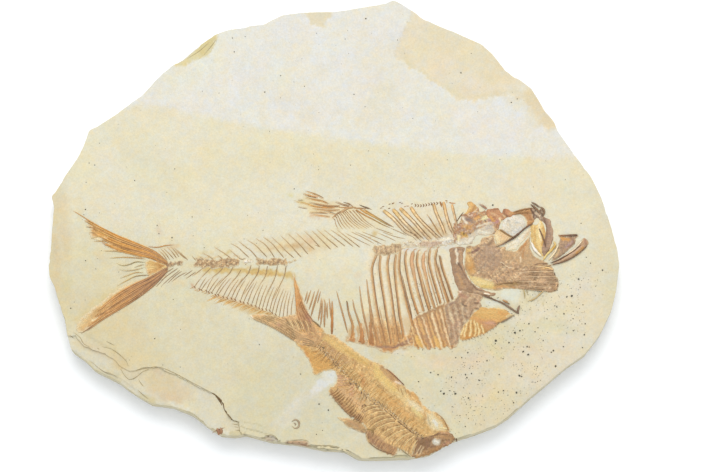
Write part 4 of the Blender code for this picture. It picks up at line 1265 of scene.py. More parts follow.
gillMarks = marks("""
84,-10 97,-8 104,-16 106,-20 92,-19 84,-16 c2a27a 3 .6
71,-12 80,-12 84,-17 80,-22 72,-20 a68d78 4 .6
74,-8 82,-10 84,-14 76,-13 b29a86 3 .5
65.4,-12 68,-14 70,-18 70.5,-23 68,-24 66,-20 65,-15 cfa468 2.2 .85
66.2,-13.6 67.4,-17 dfc490 .9 .7 .9
69.2,-15.6 69.8,-20.4 b08a60 .9 .6 .9
66.4,-19 67.6,-22.6 b08454 .8 .6 .8
66,-21 68.6,-22 69.6,-19 c08c4c 1.6 .6
66,-21.6 68,-24.6 72,-25.2 76,-26.6 80,-28 80,-31 75,-31 70.5,-29 67.5,-26 dfc98f 1.4 .95
74,-29.6 77,-29.8 80,-30.2 cfb466 1.4 .7 1.6
70,-27 75,-28.4 e4d4a0 1.2 .6 1.4
80,-28.6 85,-27.7 93,-27.4 94,-29 88,-29.8 80,-30 a8895c 1 .8
89,-28 93,-28.2 927448 1.2 .7 1.6
79.6,-30.4 84,-29.8 90,-30.6 cfa06a .9 .8 1
67,-12.8 70,-12.2 73,-10.5 8d6b5e .8 .85 1.2
66,-10.2 68.6,-10.6 68.4,-13 66,-12.6 d8b878 1 .8
75.4,-26 78.4,-27.2 e9d8ae .6 .8 .6
83.4,-17.6 85,-19 87,-20.2 90,-20.6 e2d0b0 .5 .8 .5
93,-14.8 93.1,-17.4 ead8b8 .5 .9 .6
92,-12.4 90.4,-15 d2b48c 1.2 .5 .8
98,-3 95,-8 92.6,-12 b5814f .9 .8 1.2
96.6,-6 95,-10 94,-15 b98552 .7 .7 .8
97.4,-5 96.6,-9 96.4,-13 d2ae7c .6 .7 .6
104,-20.4 109,-22.4 106,-23 102,-21 d8b37c 1.2 .7
107.6,-29 111,-31.6 a8855c 1 .6 1.2
""")
gillRidges = [
    (spots("83,-19 87,-21 92,-20.6"), 0.8, 0.25),
    (spots("93,-19.8 99,-20 104,-18.6"), 0.8, 0.3),
    (spots("66.6,-23 70,-28 78,-31"), 1.4, -0.25),
    (spots("71,-10 71,-20 78,-26"), 2.5, 0.3)]
skullBack = spots("""
60.2,2.4 61.4,1.2 62.8,3 64,6 65.4,7.4 67.6,8.2 70,8.8 71.8,10.2 72.6,8.4 74.6,8.4 76,9.6 77,6 80.5,4 82.8,3
82.6,-.4 80.6,-2.4 78,-3.6 73,-3.8 70.4,-5.4 68.4,-8.2 64,-8.8 60.6,-8.2 59.4,-5 59.6,-1
""")
skullMarks = marks("""
60.6,-9.6 66,-9.4 70,-7.6 73.6,-4.6 79,-3.6 80.4,0 77,1.6 71,-1.4 66,-5 60.6,-6.6 d4cdba .8 .8
71.6,.2 75,1.8 78.6,2.6 e0d8c2 .8 .8 .9
72.6,-2 77,-3 e6e0cc .8 .9 1.4
62,-8 67,-7.6 69,-5.6 e4dfce .9 .9 1.6
73,4 74.6,5.8 77.6,6.4 77.4,4.4 75,3.8 e3dcae .7 .9
70.6,4.6 72.4,5.6 e0a860 1 .8 1.4
64,1 69,1.4 69,-.6 64.6,-.4 c8944c 1.2 .6
64,-3 66,-4.2 c8a050 1 .8 1.8
62.4,-4.4 62.2,-6 e4dcae .8 .8 1.6
64.4,5.2 66.4,2.4 ece6d0 .7 .8 1
68.6,3.4 66,4.4 8f8078 .8 .7 1.4
75.4,3.6 76,3.3 4c3a30 .5 .9 .7
64.8,-3 65.2,-3.2 5a4432 .4 .9 .6
68,-2.4 68.2,-3.4 4c3a30 .4 .8 .5
70.4,5.6 75.6,8.4 a06a48 .5 .8 .6
61.4,2.6 60.4,-.4 62,-3 9a7a64 1 .6 .9
78,4 81,3 b08a98 1.4 .5 2
76.6,-.4 79.4,1.4 b5aca4 1 .6 1.6
82.4,1.8 83.4,3 9a6a50 .8 .7 1.2
""")
frontal = spots("""
76.4,9.2 79,9.6 81,10.1 82.5,9.6 83.3,8.2 84.2,7.6 85,9.4 87,9.5 88.5,8.6 90,8.2 93,8.9 96,9.7 99,10 100,8.8
97.5,7.8 95,6.9 90,6.5 88.5,5.4 86,4.8 84.4,3.6 83.5,2.5 82.5,1 80,1.5 77.4,4 76,6.5
""")
frontalMarks = marks("""
77,8 83,9 84,6 78,6 c0906a 1.6 .7
85,8.6 88,8 86.4,6 bc8460 1.4 .7
78.6,7.4 80.4,6.4 dcc49c .6 .7 .7
84.6,6.6 85.6,5.6 dcc49c .5 .7 .6
78.6,9.2 82.4,9.4 9a7058 .7 .8 .7
80,7 82.6,4.6 d0a680 1 .6 1.4
83,4.6 83.6,2.8 84.6,3.4 e8d8ae .6 .9 .9
85.4,9 85.2,7 87,5.6 8a6650 .7 .8 .7
88,7 95,8.4 99,9 c8a06c .8 .7 1.2
90,7.5 96,8.4 8d6a48 .5 .7 .4
80.6,2.4 82,3.6 b58aa0 1.2 .5 1.4
78,5 79.6,3 cfa050 1 .7 1.2
""")
orbit = spots("""
84.4,2.2 85.4,4.4 87.6,5.6 89.8,6.4 92.6,6.4 94.6,5 95.7,2.6 95.4,0 93.4,-2.2 91,-4.2 89,-4.6 86.6,-3 84,-1
""")
orbitMarks = marks("""
86,4 90,5.4 94,3 e2dfd6 2 .7 2
87.2,3.8 87.4,3.6 9a9488 .7 .7 1
85.2,.4 84.6,1.6 eae8e2 .8 .8 .8
90,-2.6 93,-.6 cfd2d4 2 .5 2
""")
socketRing = spots("""
93.4,7.6 96,8.2 98.6,8.6 99.8,6.4 100.2,4 99.4,2.2 97.2,.8 96,.2 96.4,2.4 95.8,4.4 94.6,6
""")
ringMarks = marks("""
94.6,6.4 96.2,3.8 96.4,1 f0e4c8 .6 .9 .6
97,7 98.4,4 a0714c 1.2 .7 1.2
98,7.4 99.4,5 cfae86 .8 .7 .7
96.6,2.6 98.4,2.4 cf9a5c .8 .7 1
""")
cheek = spots("""
80.6,-1.6 83.4,-.9 85.5,-2.2 88,-4 89.6,-4.9 88,-6 86,-7.2 83,-9 81.2,-8.4 80.4,-5.4
""")
cheekMarks = marks("""
82.6,-1.2 85.4,-2.8 88,-4.4 b5925f .7 .9 .9
81,-4 82,-7.4 e9dcb4 1.4 .8 1.4
84,-4 86,-5.4 dcb68a 1.6 .6 2
""")
chalkPatch = spots("""
86,-8.2 90,-6.1 94,-2.9 97.6,.1 98.8,-.6 97.7,-3.5 94.5,-6.8 92,-9.5 91,-11.3 86.2,-11.5 85.4,-9.7
""")
chalkMarks = marks("""
91.6,-6 92,-5.6 a8a49a .6 .8 .8
89,-9.6 94,-4.4 e8e3d2 2 .7 2.4
87,-11 90.6,-11 ddd0ac 1.2 .7 1
95.4,-5.4 98,-1.4 d0b490 1 .7 1.2
88,-9.6 91,-7.6 d8caa8 .8 .7 .9
""")
jawHinge = spots("""
98.3,1.5 101.5,1.5 103,4 104,3 105,1 105.7,-2 105.5,-5 104.5,-8.5 104.2,-12.5 104.5,-14.7 102,-12.7
100,-10.7 99,-8 98.4,-4
""")
hingeMarks = marks("""
102.8,3.6 102.5,-2 103.6,-7 efe2bc .6 .9 .9
100.5,0 100.3,-8 103,-13 cfa868 .8 .8 1
104.8,0 104.9,-4 103.8,-9 cf9f5c .7 .8 .9
101.6,-1 101.4,-7 e2cf96 .7 .7 .8
99,.6 98.9,-5 c9a462 .6 .7 .7
100,-9 102.4,-12.6 dcc484 .6 .7 .8
""")
maxilla = spots("""
104.2,5.7 106.5,4.8 108.2,3.9 108.9,1 109.6,-2 109.4,-6 108.5,-9 107,-12 105.3,-14.6 104,-13 103.5,-11
104.5,-8 105.8,-4 106,-.5 105.5,2 104,3.6
""")
maxillaMarks = marks("""
107.6,4 108.9,0 109,-5 107.4,-10 bfa086 .8 .9 .8
105.6,4.6 106.5,0 106.4,-5 105.2,-10 86695a .6 .85 .6
106.8,4 107.6,-1 107.4,-6 a68c7c .6 .7 .7
105,5 105.8,2 106.2,-2 6b5040 .4 .8 .4
""")
snout = spots("""
98.5,9.5 100,10 102,8.5 104,9.8 105.2,8 104.8,5.5 104,3 102.5,4.5 101,5 99.5,4
""")
snoutMarks = marks("""
103,9 104.4,6 6b5446 .6 .8 .9
99.6,8 101,6 6b5446 .6 .8 .8
101.6,7.6 102.6,5.4 d8c4a8 .5 .8 .6
100,4.8 102,3 a08878 1.2 .7 1.4
""")
club = spots("""
66.8,12.6 68.5,13.3 70,12.3 71.5,10.5 71.4,9 69,8 67,7 65,5.8 64.6,6.6 66.5,8.4 67.4,10.4
""")
clubMarks = marks("""
67.4,12.4 68.4,10 66,7.4 dfbc80 .9 .8 1.1
70.6,11 69.4,9 aa7c54 .8 .7 .8
""")
craze = dict(crazing=[(1.5, skinTones, 0.3, "7a6250", 0.35)], mottle=0.14, crumple=0.09)
print("head")
finishPiece(platePiece("largeFishSkull", [
    (skullBack, dict(tone="b99878", height=0.45, mottle=0.16, crumple=0.12, relief=0.16, ragged=0.5,
        crazing=[(1.9, warmTones, 0.35, "7a5c46", 0.65), (0.9, lightTones + " " + warmTones, 0.2, "7a5c48",
        0.3)]), skullMarks),
    (frontal, dict(tone="bc8c68", height=0.5, mottle=0.14, relief=0.1,
        crazing=[(1.6, "cc946c bc825c d2a47c b08460", 0.3, "8a644a", 0.6)]), frontalMarks),
    (orbit, dict(tone="d6cfbe", height=0.12, mottle=0.05, relief=0.05,
        crazing=[(2.2, "d8d0be cecabe dfd6c2", 0.25, "b8ac98", 0.5)]), orbitMarks),
    (socketRing, dict(tone="b98d62", height=0.5, mottle=0.14), ringMarks),
    (cheek, dict(tone="dcc298", height=0.4, mottle=0.1), cheekMarks),
    (chalkPatch, dict(tone="dfd7c0", fade=0.5, height=0.2, mottle=0.07, crumple=0.06), chalkMarks),
    (club, dict(tone="cfa66c", height=0.5, mottle=0.12), clubMarks)], fossilFilm), ["large_fish_head"])
finishPiece(platePiece("largeFishGillCover", [
    (gillCover, dict(craze, tone="c8a884", fade=0.5, height=0.6, mottle=0.24,
        streaks=[(60, -14, 0.5, 0.16)], ridges=gillRidges, crazing=[(2.6, skinTones, 0.35, "8a705c", 0.3),
        (0.9, darkTones + " " + skinTones + " dcc8a4", 0.2, "86695a", 0.5)]), gillMarks)], fossilFilm),
        ["large_fish_head"])
upperJaw = spots("""
112.2,-3.6 113.5,-4 116,-4.4 117.8,-3.6 119.5,-4.3 121.5,-3.6 122.3,-4.4 121,-5.5 120.6,-7.5 119.5,-9.3
117.5,-11 115,-13.2 112,-15.5 109.5,-17 108.5,-16.5 110,-14.2 111.5,-11.5 112.2,-8 112.8,-6
""")
upperJawMarks = marks("""
113,-4.4 117,-5.6 119,-5 117,-7 113.6,-6.6 cf9c5a 1 .9
112.6,-4.2 118,-3.9 121.6,-4 8a6a50 .5 .8 .5
118.4,-5.2 120,-7.6 118,-10 93735f 1.2 .8 1.2
115,-10.4 118,-8.8 8d7068 1 .6 1
119,-7 116,-10 b89aa0 .8 .5 .8
110.4,-15.4 112.4,-11 d8bc8c .8 .7 .7
111,-16 116,-12.6 8d7260 .8 .7 1
""")
lowerJaw = spots("""
125.2,-5.3 126.6,-6.3 127.3,-8 126.2,-9.6 124,-11.6 121,-14 118,-15.9 114,-17.5 110.5,-18.7 108.6,-19.2
109.2,-17.8 112,-16.2 116,-13.8 120,-11 122.5,-8.8 123.8,-6.4
""")
lowerJawMarks = marks("""
110,-18 116,-15.4 121,-12 125,-8.8 cba98c .7 .8 .9
125.4,-6.6 126,-8 a07a68 .8 .8 1.2
121,-13 124.6,-10.2 c8944c .8 .8 1
113,-15.8 118,-12.9 122.5,-9.8 8a6a58 .5 .8 .5
""")
finishPiece(platePiece("largeFishJaws", [
    (jawHinge, dict(tone="dcc085", height=0.45, mottle=0.1, streaks=[(103, 40, 0.7, 0.12)]), hingeMarks),
    (maxilla, dict(tone="a68a74", height=0.8, mottle=0.08, edge=1.0, streaks=[(70, -4, 0.5, 0.12)]),
        maxillaMarks),
    (snout, dict(tone="ac937a", height=0.6, mottle=0.2, crumple=0.15, ragged=0.4,
        crazing=[(1.0, "8d7460 c4b09a a08874 d8c8ae", 0.25, "6b5446", 0.6)]), snoutMarks),
    (upperJaw, dict(craze, tone="b0947a", height=0.5, fade=0.4,
        crazing=[(1.2, "b0947c a0846e bc9e82 c8a884", 0.25, "7a6050", 0.5)]), upperJawMarks),
    (lowerJaw, dict(tone="bc9c7c", height=0.7, fade=0.35, mottle=0.1, streaks=[(60, -60, 0.5, 0.12)]),
        lowerJawMarks)], fossilFilm), ["large_fish_head"])
# behind the head: the shoulder bar, the flat bones of the chest and the fin lying across the ribs
shoulderBar = spots("""
58.3,-10.4 58,-15 58.7,-20 60,-26 61.5,-30 62.8,-32.4 68,-33.4 73,-34.4 78.4,-34.8 80.6,-33.4 78,-32.6
74,-31.3 70.4,-29.4 67.6,-26.4 65.6,-22.6 64.6,-18 64.4,-14 65,-10
""")
barMarks = marks("""
60.8,-10.6 61.5,-14 61.7,-18 eadfc8 .7 .9 1
62.2,-18 66,-25 70,-30 76,-34 6f5849 .7 .9 .8
63.6,-11 63.4,-16 65,-22 68,-27 73,-31 c2a07e .9 .8 1
59.2,-12 59.4,-20 61,-27 a0836a 1 .7 1
62,-24 64.4,-29.6 c29a6a 1.4 .6 1.4
60,-11.4 60.4,-10.6 7a6050 .6 .7 1
62.2,-11.4 64.2,-11 8d7260 .6 .7 .8
70,-32 78,-34 c8b090 1 .7 .9
""")
chest = spots("""
62.4,-31.6 67,-32.6 73,-34 74.6,-35.4 73.6,-37.4 73.2,-40 71.6,-41.6 69.2,-43.6 67.6,-46.4 65.6,-49
63.6,-51.4 62.8,-54 62.2,-57 60.4,-59.8 57.8,-59.6 57,-56 56,-50 55,-44 55,-39.6 57.4,-37.6 60.6,-36
61.8,-33.6
""")
chestMarks = marks("""
62,-31 63.2,-32.2 ecd2bc .7 .9 1.2
60,-46 63,-47 62.6,-51 60,-50 c4a088 1.4 .45
59,-49 60.4,-56 b08a70 1.4 .7 1.6
58,-43 59.4,-48 e0cda8 .7 .8 .9
62.8,-38 64.6,-39.4 66,-39.6 5c4a3a .5 .85 .7
70,-38 71.6,-38.2 6b5444 .5 .8 .7
70.4,-41 72.8,-41.2 5c4a3a .5 .8 .5
63,-44 66.6,-45 6f5849 .6 .7 .7
66,-36 70,-35 d0b894 1.2 .6 1.2
60.4,-41.6 62,-42.8 6f5849 .5 .7 .6
68.6,-42 68,-44.4 7a6050 .5 .8 .6
62,-33.6 66,-35.4 b08068 1.4 .6 1.8
58,-38.6 60.4,-38 8d7468 1.2 .6 1.4
64,-56.6 61.6,-59 a08870 1 .6 1.4
72,-37 74,-38 d8a888 1 .7 1.2
64.4,-41 66.4,-43 c8b8a0 1 .6 1
""")
throat = spots("""
73.4,-40 76,-40.4 80,-40.4 83,-40.6 86,-41.9 88,-43.6 89.4,-43.9 87,-45.7 85,-47.1 83.5,-47.7 81.5,-48.9
80.5,-50 79,-51.3 77,-52.3 75,-53.8 73,-54.6 70,-55.5 67,-56.4 64,-57 62.5,-56.3 62.5,-54 64,-50 66.5,-47
68.5,-44 70.5,-42 72,-41
""")
throatMarks = marks("""
72,-40 82,-40 88,-43.6 84,-46 74,-46 70,-44 d2aa6a 1.6 .9
74,-42.6 86,-42.8 dcb878 1 .6 .9
81,-40.8 84.4,-41.4 e2cc98 .7 .8 .8
82,-43 86,-44 cf9a5c 1.4 .7 1.8
86,-45 89,-43.9 e2cfa0 .6 .8 .8
71,-46.4 80,-47.2 81,-50 76,-52 b98a68 1.4 .7
76,-48 80,-48.6 c8a08c 1.2 .6 1.2
80,-48.6 82,-47.8 8a6a50 .5 .7 .5
69.4,-45.6 74.6,-46.6 d09a60 1 .6 1
63.4,-52 67,-48 72,-47.4 76,-52 66,-56.4 c79a5c 1 .8
63,-54 68,-54.8 74,-53.4 66,-56.4 c8843f 1.2 .7
76,-52.6 79.4,-51 a87a4a .8 .7 .9
""")
throatMarks += [([(x, y), (x + bow, (y + low) / 2), (end, low)], "e9d6a2", 0.5, 0.9, 0.75)
                for x, y, bow, end, low in spots("""
66,-48.4,-.6,64.8,-55 68,-47,0,67.6,-54.6 69.8,-47,.8,70,-54.6 71,-48,1.2,72.2,-54.4
73.4,-49.4,.6,74.2,-53 64.4,-50.8,-.4,63.4,-54
""")]
throatMarks += [([(x, y), (x + bow, (y + low) / 2), (end, low)], "9c6f3c", 0.5, 0.7, 0.5)
                for x, y, bow, end, low in spots("""
67,-48,-.4,66.2,-55 69,-47,.4,68.8,-54.6 70.4,-47.6,1.2,71,-54 72.6,-48.8,.8,73.2,-53.6
75,-50.6,.2,75.4,-52.8
""")]
pectoral = spots("""
41,-45 45,-42.8 50,-40.4 55,-38 60.6,-36.6 60,-42 61,-48 62.4,-55 61,-59.4
""")
for tip in np.arange(58.4, 41, -2.7):  # the lower edge is toothed
    pectoral += [(tip, -61.5), (tip - 2.2, -60.4)]
pectoral += spots("39.7,-60.2 39.2,-57 37.6,-52.4 38.8,-48")
pectoralMarks = marks("""
40,-44 46,-42 54,-38.4 60,-37.4 60,-41 50,-44 42,-47.6 ab8c68 2.4 .6
42,-44.6 50,-41 56,-38.2 60,-37.4 94704e 1 .45 .9
38,-56 46,-56 56,-56 58,-60 40,-61 cd9a58 1.6 .8
56,-50 60,-50 61,-59 58,-59 a68a72 1.6 .7
56.6,-42 57.8,-48 efe2c2 .6 .8 1.4
49,-55 51.6,-60.6 d4af84 1 .6 1.4
37,-52 40,-48 d8bf92 1.2 .6 1.4
""")
finFolds = [(37.6, "e4c88c", 0.7), (39.6, "f0ddb4", 0.8), (42, "dcb470", 0.6), (44, "f0dfb8", 0.85),
    (46.6, "dfb878", 0.6), (48.6, "eddcb4", 0.8), (51, "e2c088", 0.6), (52.8, "ecd8b0", 0.75),
    (54.8, "dcc298", 0.5)]
for k, (x, tone, strength) in enumerate(finFolds):
    top = -46 + (x - 42) * 0.42
    pectoralMarks.append(([(x, top), (x + 2.4, (top - 60) / 2), (x + 5.2, -60.6)], tone, 0.8, strength,
        0.5 + 0.25 * (k % 3)))
for k, x in enumerate([36.8, 38.8, 40.8, 43.2, 45.6, 47.4, 50, 51.8, 53.8, 56]):
    top = -45 + (x - 42) * 0.42
    pectoralMarks.append(([(x, top), (x + 2.2, (top - 60) / 2), (x + 5, -60.6)],
        ["8d6848", "a07c58"][k % 2], 0.6, 0.75, 0.5))
pectoralMarks += marks("""
41,-55 43.4,-60 dcb264 1.2 .75 1.5
50,-55.4 52,-60 dcb26a 1.2 .75 1.6
45.4,-55 47.6,-60.4 a5846c 1.2 .7 1.8
54,-54 57,-60 b08a66 1.2 .6 1.8
""")
# creases lean across the chest
for k in range(7):
    x = 55.4 + 1.5 * k
    chestMarks.append(([(x, -40 + 0.4 * k), (x + 2.2, -48), (x + 3.4, -57)], ["866a54", "dccaa8"][k % 2],
        0.7, 0.5, 0.6))
finishPiece(platePiece("largeFishShoulder", [
    (shoulderBar, dict(tone="a98a6e", height=0.55, mottle=0.12, edge=1.2,
        crazing=[(1.6, darkTones, 0.25, "75604e", 0.25)], streaks=[(110, -8, 0.6, 0.14)],
        ridges=[(spots("63.6,-11 63.4,-16 65,-22 68,-27 73,-31"), 1.2, 0.35)]), barMarks),
    (chest, dict(tone="b89a7c", height=0.5, mottle=0.16, crumple=0.16, ragged=0.6, fade=0.6,
        streaks=[(80, -20, 0.6, 0.14)], crazing=[(1.3, "b89c7c c8ae8c a0846a b09070 d0bc9c a88c70", 0.25,
        "7d6654", 0.4)]), chestMarks),
    (throat, dict(tone="cfa368", fade=0.5, height=0.4, mottle=0.1, streaks=[(40, -30, 0.9, 0.08)]),
        throatMarks),
    (pectoral, dict(tone="c2986c", height=0.22, mottle=0.16, ragged=0.5, fade=0.45,
        streaks=[(10, 60, 0.6, 0.2)]), pectoralMarks)], fossilFilm), ["large_fish_shoulder"])
headBones = bones("""
73.6,-34.3 77,-35.2 80,-36.6 84,-38.2 88,-40.8 92,-43.6 .5 .9 .8 1.1 1 .7 7d6450 705a48 7d6450 86705c 7d6450
92,-43.6 91.5,-42 92.4,-39.2 .8 1.3 .8 7a6250 8a7260 8a7260
99.5,2 96,0 93,-2.5 90,-5 86,-7.5 83,-9 81,-9.5 .6 .8 1 1.3 .9 .7 .4 7d6250 6b4f3c 6b4f3c 5e4432 7d6250
a08468
98.4,11.8 101,9.8 103.4,7 .7 1.2 .8 7a6250 86694f 86694f
98.8,13 101.6,11.4 103,10.2 .6 1 .6 86694f 7a6250 86694f
103,10.6 104.6,9.6 105.3,7.8 104.2,5.6 .6 1.2 1.1 .8 86694f 86694f 7a6250
98,10 100,7 99.6,5 .5 .9 .6 7d6250 6e5442 7d6250
90,7.9 95,9.3 99.4,9.9 .7 .8 .6 9a7450 a07850 8d6c4c
90.4,6.7 95.6,7.7 99,7.2 .5 .6 .5 8d6c4c a07850 a07850
102.5,-.4 104,-4 105.4,-8 106,-10.4 .5 .9 .8 .5 7b5f4a 7b5f4a 6b5040
83,-.8 85.5,-2.6 88,-4.2 90,-5 .5 .8 .7 .5 a8845c 9a7a56 8a6a48
83.4,-17.8 85,-19.4 87,-20.7 90,-21.2 92.2,-20.5 .5 .7 .8 .7 .4 8a6c52 8a6c52
93,-19.8 98,-20 101,-18.7 104,-18.4 107,-18 .4 .7 .9 .8 .4 8f7358 80654e 8f7358
95,-19.3 104,-19.8 108.6,-18.9 .4 .7 .6 c4a880 d8c29a b8986c
81,-26 81.3,-27.6 81.5,-29.2 .5 .8 .8 7a6048 6b5140
80.8,-29.4 84,-28.4 90,-27.9 93.6,-27.6 .6 .6 .6 .4 8a6c4c 8a6c4c 8a6c4c
91,-19.3 91.6,-19.2 .9 .9 5a4432 5a4432
109,-18.9 115,-17.2 120,-14.7 124,-11.7 126.6,-9 .5 .8 .7 .7 .5 6e5442 7b5f4a 7b5f4a
108,-18 112,-16.4 118,-12.9 122.4,-9.8 124,-8.6 .5 .8 .8 .7 .4 6e5442 6b5140 7b5f4a
123.8,-7 120,-11 115,-14.4 .7 .9 .5 ecdcc0 e6d2b4 d8c4a4
112.4,-4 118,-3.9 121.8,-3.8 .6 .8 1.1 a87850 7d6250 6e5442
98.6,-7.4 100.2,-11 103.6,-14.6 1 1.8 1 f0ece2 eeeae4 ece0c0
109.6,-7 110.6,-8.6 109,-11 106,-14 104.4,-16.6 .8 1.4 1.3 1.1 .8 dcc48a c8a050 e0cc8c dcc07c
112,-9 110,-13 107,-16.6 .8 1 .6 f0e2c4 f0e2c4 ead8b0
104.4,-20.6 107,-20.4 109.4,-21.6 .8 1 .7 dcb070 e8c890 d8b07c
72.5,12.2 74.5,11 76.6,9.6 .5 1.1 1 d8c4b0 a0806c b0785c
74.5,-33.2 76,-33.5 77.8,-34 .8 1 .6 f2e4d0 f2e4d0
81.4,-35.8 82,-35.2 .9 .9 6b5c40 6b5c40
84,-36.6 86.6,-38 1 1.3 c89c6c a8835c
86.4,-38 87.6,-38.8 .9 .8 8d7254 8d7254
94.4,-31 95,-33.6 95,-36 .6 .6 .4 c8b080 a89868 b8a880
96.6,-37.2 100,-36 102.6,-33.6 104.4,-32 .4 .8 .7 .6 c8b080 c0a878 c8b080
96,-31 96.6,-34 .5 .4 a8987a c0b48c
83,-48 86,-46.4 90,-44 .9 .8 .5 7d6a54 8d7a64 a89878
81,-49 82.6,-47.8 .6 .6 8d7254 8d7254
75,-35 78,-35.6 .6 .9 7a6250 6b5140
67.4,-12.8 70,-12.2 72.8,-10.8 .6 1.2 .9 8d6b5e 7d5b50 7d6250
110,-22.8 110.3,-24.4 .6 .6 5e4a3c 5e4a3c
109.6,-31.9 110.6,-32 .9 .8 5e4a3c 6e5442
111.2,-30 111.8,-28.6 .7 .6 6e5442 8a6c52
""")
# the tongue: fine ridges fanning forward
ridges = zip(between((88, -22.6), (92, -30.4), 13), between((109.6, -21.6), (109, -32), 13))
for k, (a, b) in enumerate(ridges):
    mid = (a + b) / 2 + (0, 0.5 - 0.08 * k)
    headBones.append(([a, mid, b + (1.6 - 0.05 * (k - 6) ** 2, 0)], [0.3, 0.55, 0.6, 0.5],
        ["bda084 ae9070 b09478", "c8ae8c ccb292 ceb492", "b89c7c a68a6c b0947a"][k % 3]))
for x, y in spots("""
63.8,-57.2 65.4,-56.9 67,-56.5 68.4,-56 69.8,-55.7 71.4,-55.2 72.8,-54.8 74.4,-54.2 76,-53 77.6,-52 79,-51.2
80.4,-50
"""):
    headBones.append(([(x - 0.2, y + 0.5), (x + 0.5, y - 0.3)], [0.8, 0.5], "9a6c3c 7a5838"))
finishPiece(strandPiece("largeFishHeadBones", headBones, fossilBone,
    dict(spineLook, step=0.5, flat=0.7, lift=0.55, ragged=0.4, taper=0.8)), ["large_fish_head"])

# the small fish: skin and flesh as an amber film, the tail, the fin and the head lying on it
smallBody = spots("""
-6,-50.6 -3.6,-53.6 0,-53.9 4,-57 9,-60.6 14,-64 19,-67 23.4,-68.6 27.6,-71.6 31.6,-75.4 35.2,-79.6
37.6,-81.4 40.4,-83.2 43,-86.4 44.8,-89.4 47.4,-91.6 50.4,-92.8 53.6,-95.4 56,-98.4 57.4,-102.4 52,-104
44,-106.4 40,-110.6 38.4,-114.6 36.4,-113 33.6,-112 31.6,-111 31,-113.8 28,-114 24,-112.5 20,-110 17,-107.4
15.5,-104 15.6,-100 12.6,-97.2 9.6,-95.6 7,-94 3,-90 0,-86.2 -2.6,-82.8 -1.8,-80.6 .8,-78.8 1.5,-76 .4,-72.2
-2.6,-71.8 -6,-73.2 -8,-74.5 -10,-73.8 -10.8,-71.5 -12,-68 -14,-64.5 -16.6,-61 -19,-57.8 -14,-53
""")
bodyMarks = marks("""
-16,-59 -2,-66 0,-71 -9,-73 -13,-66 cd9f5c 2 .85
-14,-63 -12,-67 c98a4c 1.6 .6 1.6
-16.6,-60.4 -14.6,-59.4 d8a05c 1.4 .6 1.4
-16,-54 -6,-53 0,-57 8,-68 2,-70 -6,-62 -14,-58.4 b08a68 3 .55
-4,-54 6,-60 18,-67.4 16,-70 2,-62 -6,-56 d8b878 1.6 .8
6,-62 18,-70 c09a58 1.4 .5 1.4
9,-66.4 10.6,-67.4 10,-71 a07048 1.4 .5 1.2
14,-72 14.2,-71.6 8d6a40 1 .6 1
14,-74.6 15,-79 c48a58 2 .6 2.4
20,-68 30,-80 34,-84 28,-82 20,-75 dcc07c 2 .8
22,-82 30,-88 34,-86 c99c5c 2 .6 2.6
24,-82.2 24.6,-82.4 8d6a40 .7 .8 .8
24,-78 30,-84 dcc48c 1.2 .6 1.4
22,-69 26,-69.6 31,-74.6 35.2,-79.4 33.6,-79.4 31,-78 27,-76 23,-71.6 b8946a 1.6 .65
24,-70 28,-73 34,-78.8 a07850 .9 .6 .8
28,-75 30,-77 b08660 .9 .5 1.2
30.6,-77.6 33,-78.6 e6d6c4 .8 .8 .9
34,-80 38,-86 36,-90 30,-84 e0cc98 1.6 .6
37,-82 40,-84 44,-89 cf9f60 1.2 .7 2.2
40.6,-84 44.2,-88.6 b5884c .6 .8 .7
36.6,-86.6 40,-87.6 44,-91 45,-93 41,-92 37.6,-89.4 e4dab8 2 .75
39,-91 43,-95 dccc90 1.6 .7 2
28,-88 34,-93 40,-98 d8a868 2 .6 3
45.4,-93 49,-93.6 53.6,-98 55,-101.6 49,-101.6 46,-97.6 ded2ac 1.6 .8
46.6,-95.6 47.6,-98.6 bcae94 .9 .7 1
49.4,-97 50.6,-99 d9dcd6 .9 .8 1.6
53,-100.4 55.4,-100.8 e8dcae .6 .8 .8
54,-96.6 56.4,-100.4 b5925c .6 .8 .8
39,-98 44,-103 d6b074 2 .6 2.4
42,-96 47,-102 c2a064 2 .5 2.4
1.4,-73 8,-80 16,-84 14,-92 6,-86 0,-80 d2ac80 2 .7
2,-75 8,-76.4 cfa084 1.2 .6 1
9,-79 9,-84 d0a084 1.6 .6 1.6
-1.6,-81 3,-86 10,-93.6 15,-98 11,-96.6 3,-90 -2,-84 aa8058 1.6 .8
0,-80.4 6,-79.6 c8a066 1.2 .6 1.4
13,-86 17,-84 b0a07c 1.8 .6 2.4
12.6,-80.4 13.6,-81.6 e6dca8 .8 .9 1.4
16,-85 17.4,-88.4 ccb48c 1.6 .6 2.4
14,-90 14.4,-89.6 4e3c2c .4 .9 .7
15,-88.8 15.8,-89.8 5a4432 .4 .9 .6
10,-96 12.6,-94.4 8d6450 1.2 .7 2.4
12.6,-98 15.6,-101.4 b08468 1.2 .7 2
18,-86 26,-90 22,-91.6 b09468 2 .5 1.6
15.4,-101.6 20,-103 26,-108 31,-110 31,-114 27,-113.8 21,-110.6 17,-107 ac8664 1.2 .8
17,-104 19,-107 23,-110 94705a .9 .6 1.4
19.4,-99.6 19,-104 7d7048 1 .5 .8
23,-101 24.6,-101.6 8d7040 1 .6 1
31.6,-111.4 36.6,-112.8 e8dcb8 .8 .7 .9
18.6,-104.6 18.2,-105.2 75603c .5 .6 .5
""")
tailRight = spots("""
-20.4,-23.2 -18.6,-27.4 -17,-31.4 -15,-37 -13,-41.4 -11,-45.7 -8,-48.6 -5.4,-51.2 -6,-56 -12,-58 -16,-55
-18.6,-50 -19.4,-44 -19.2,-38 -19.8,-31 -20.4,-26
""")
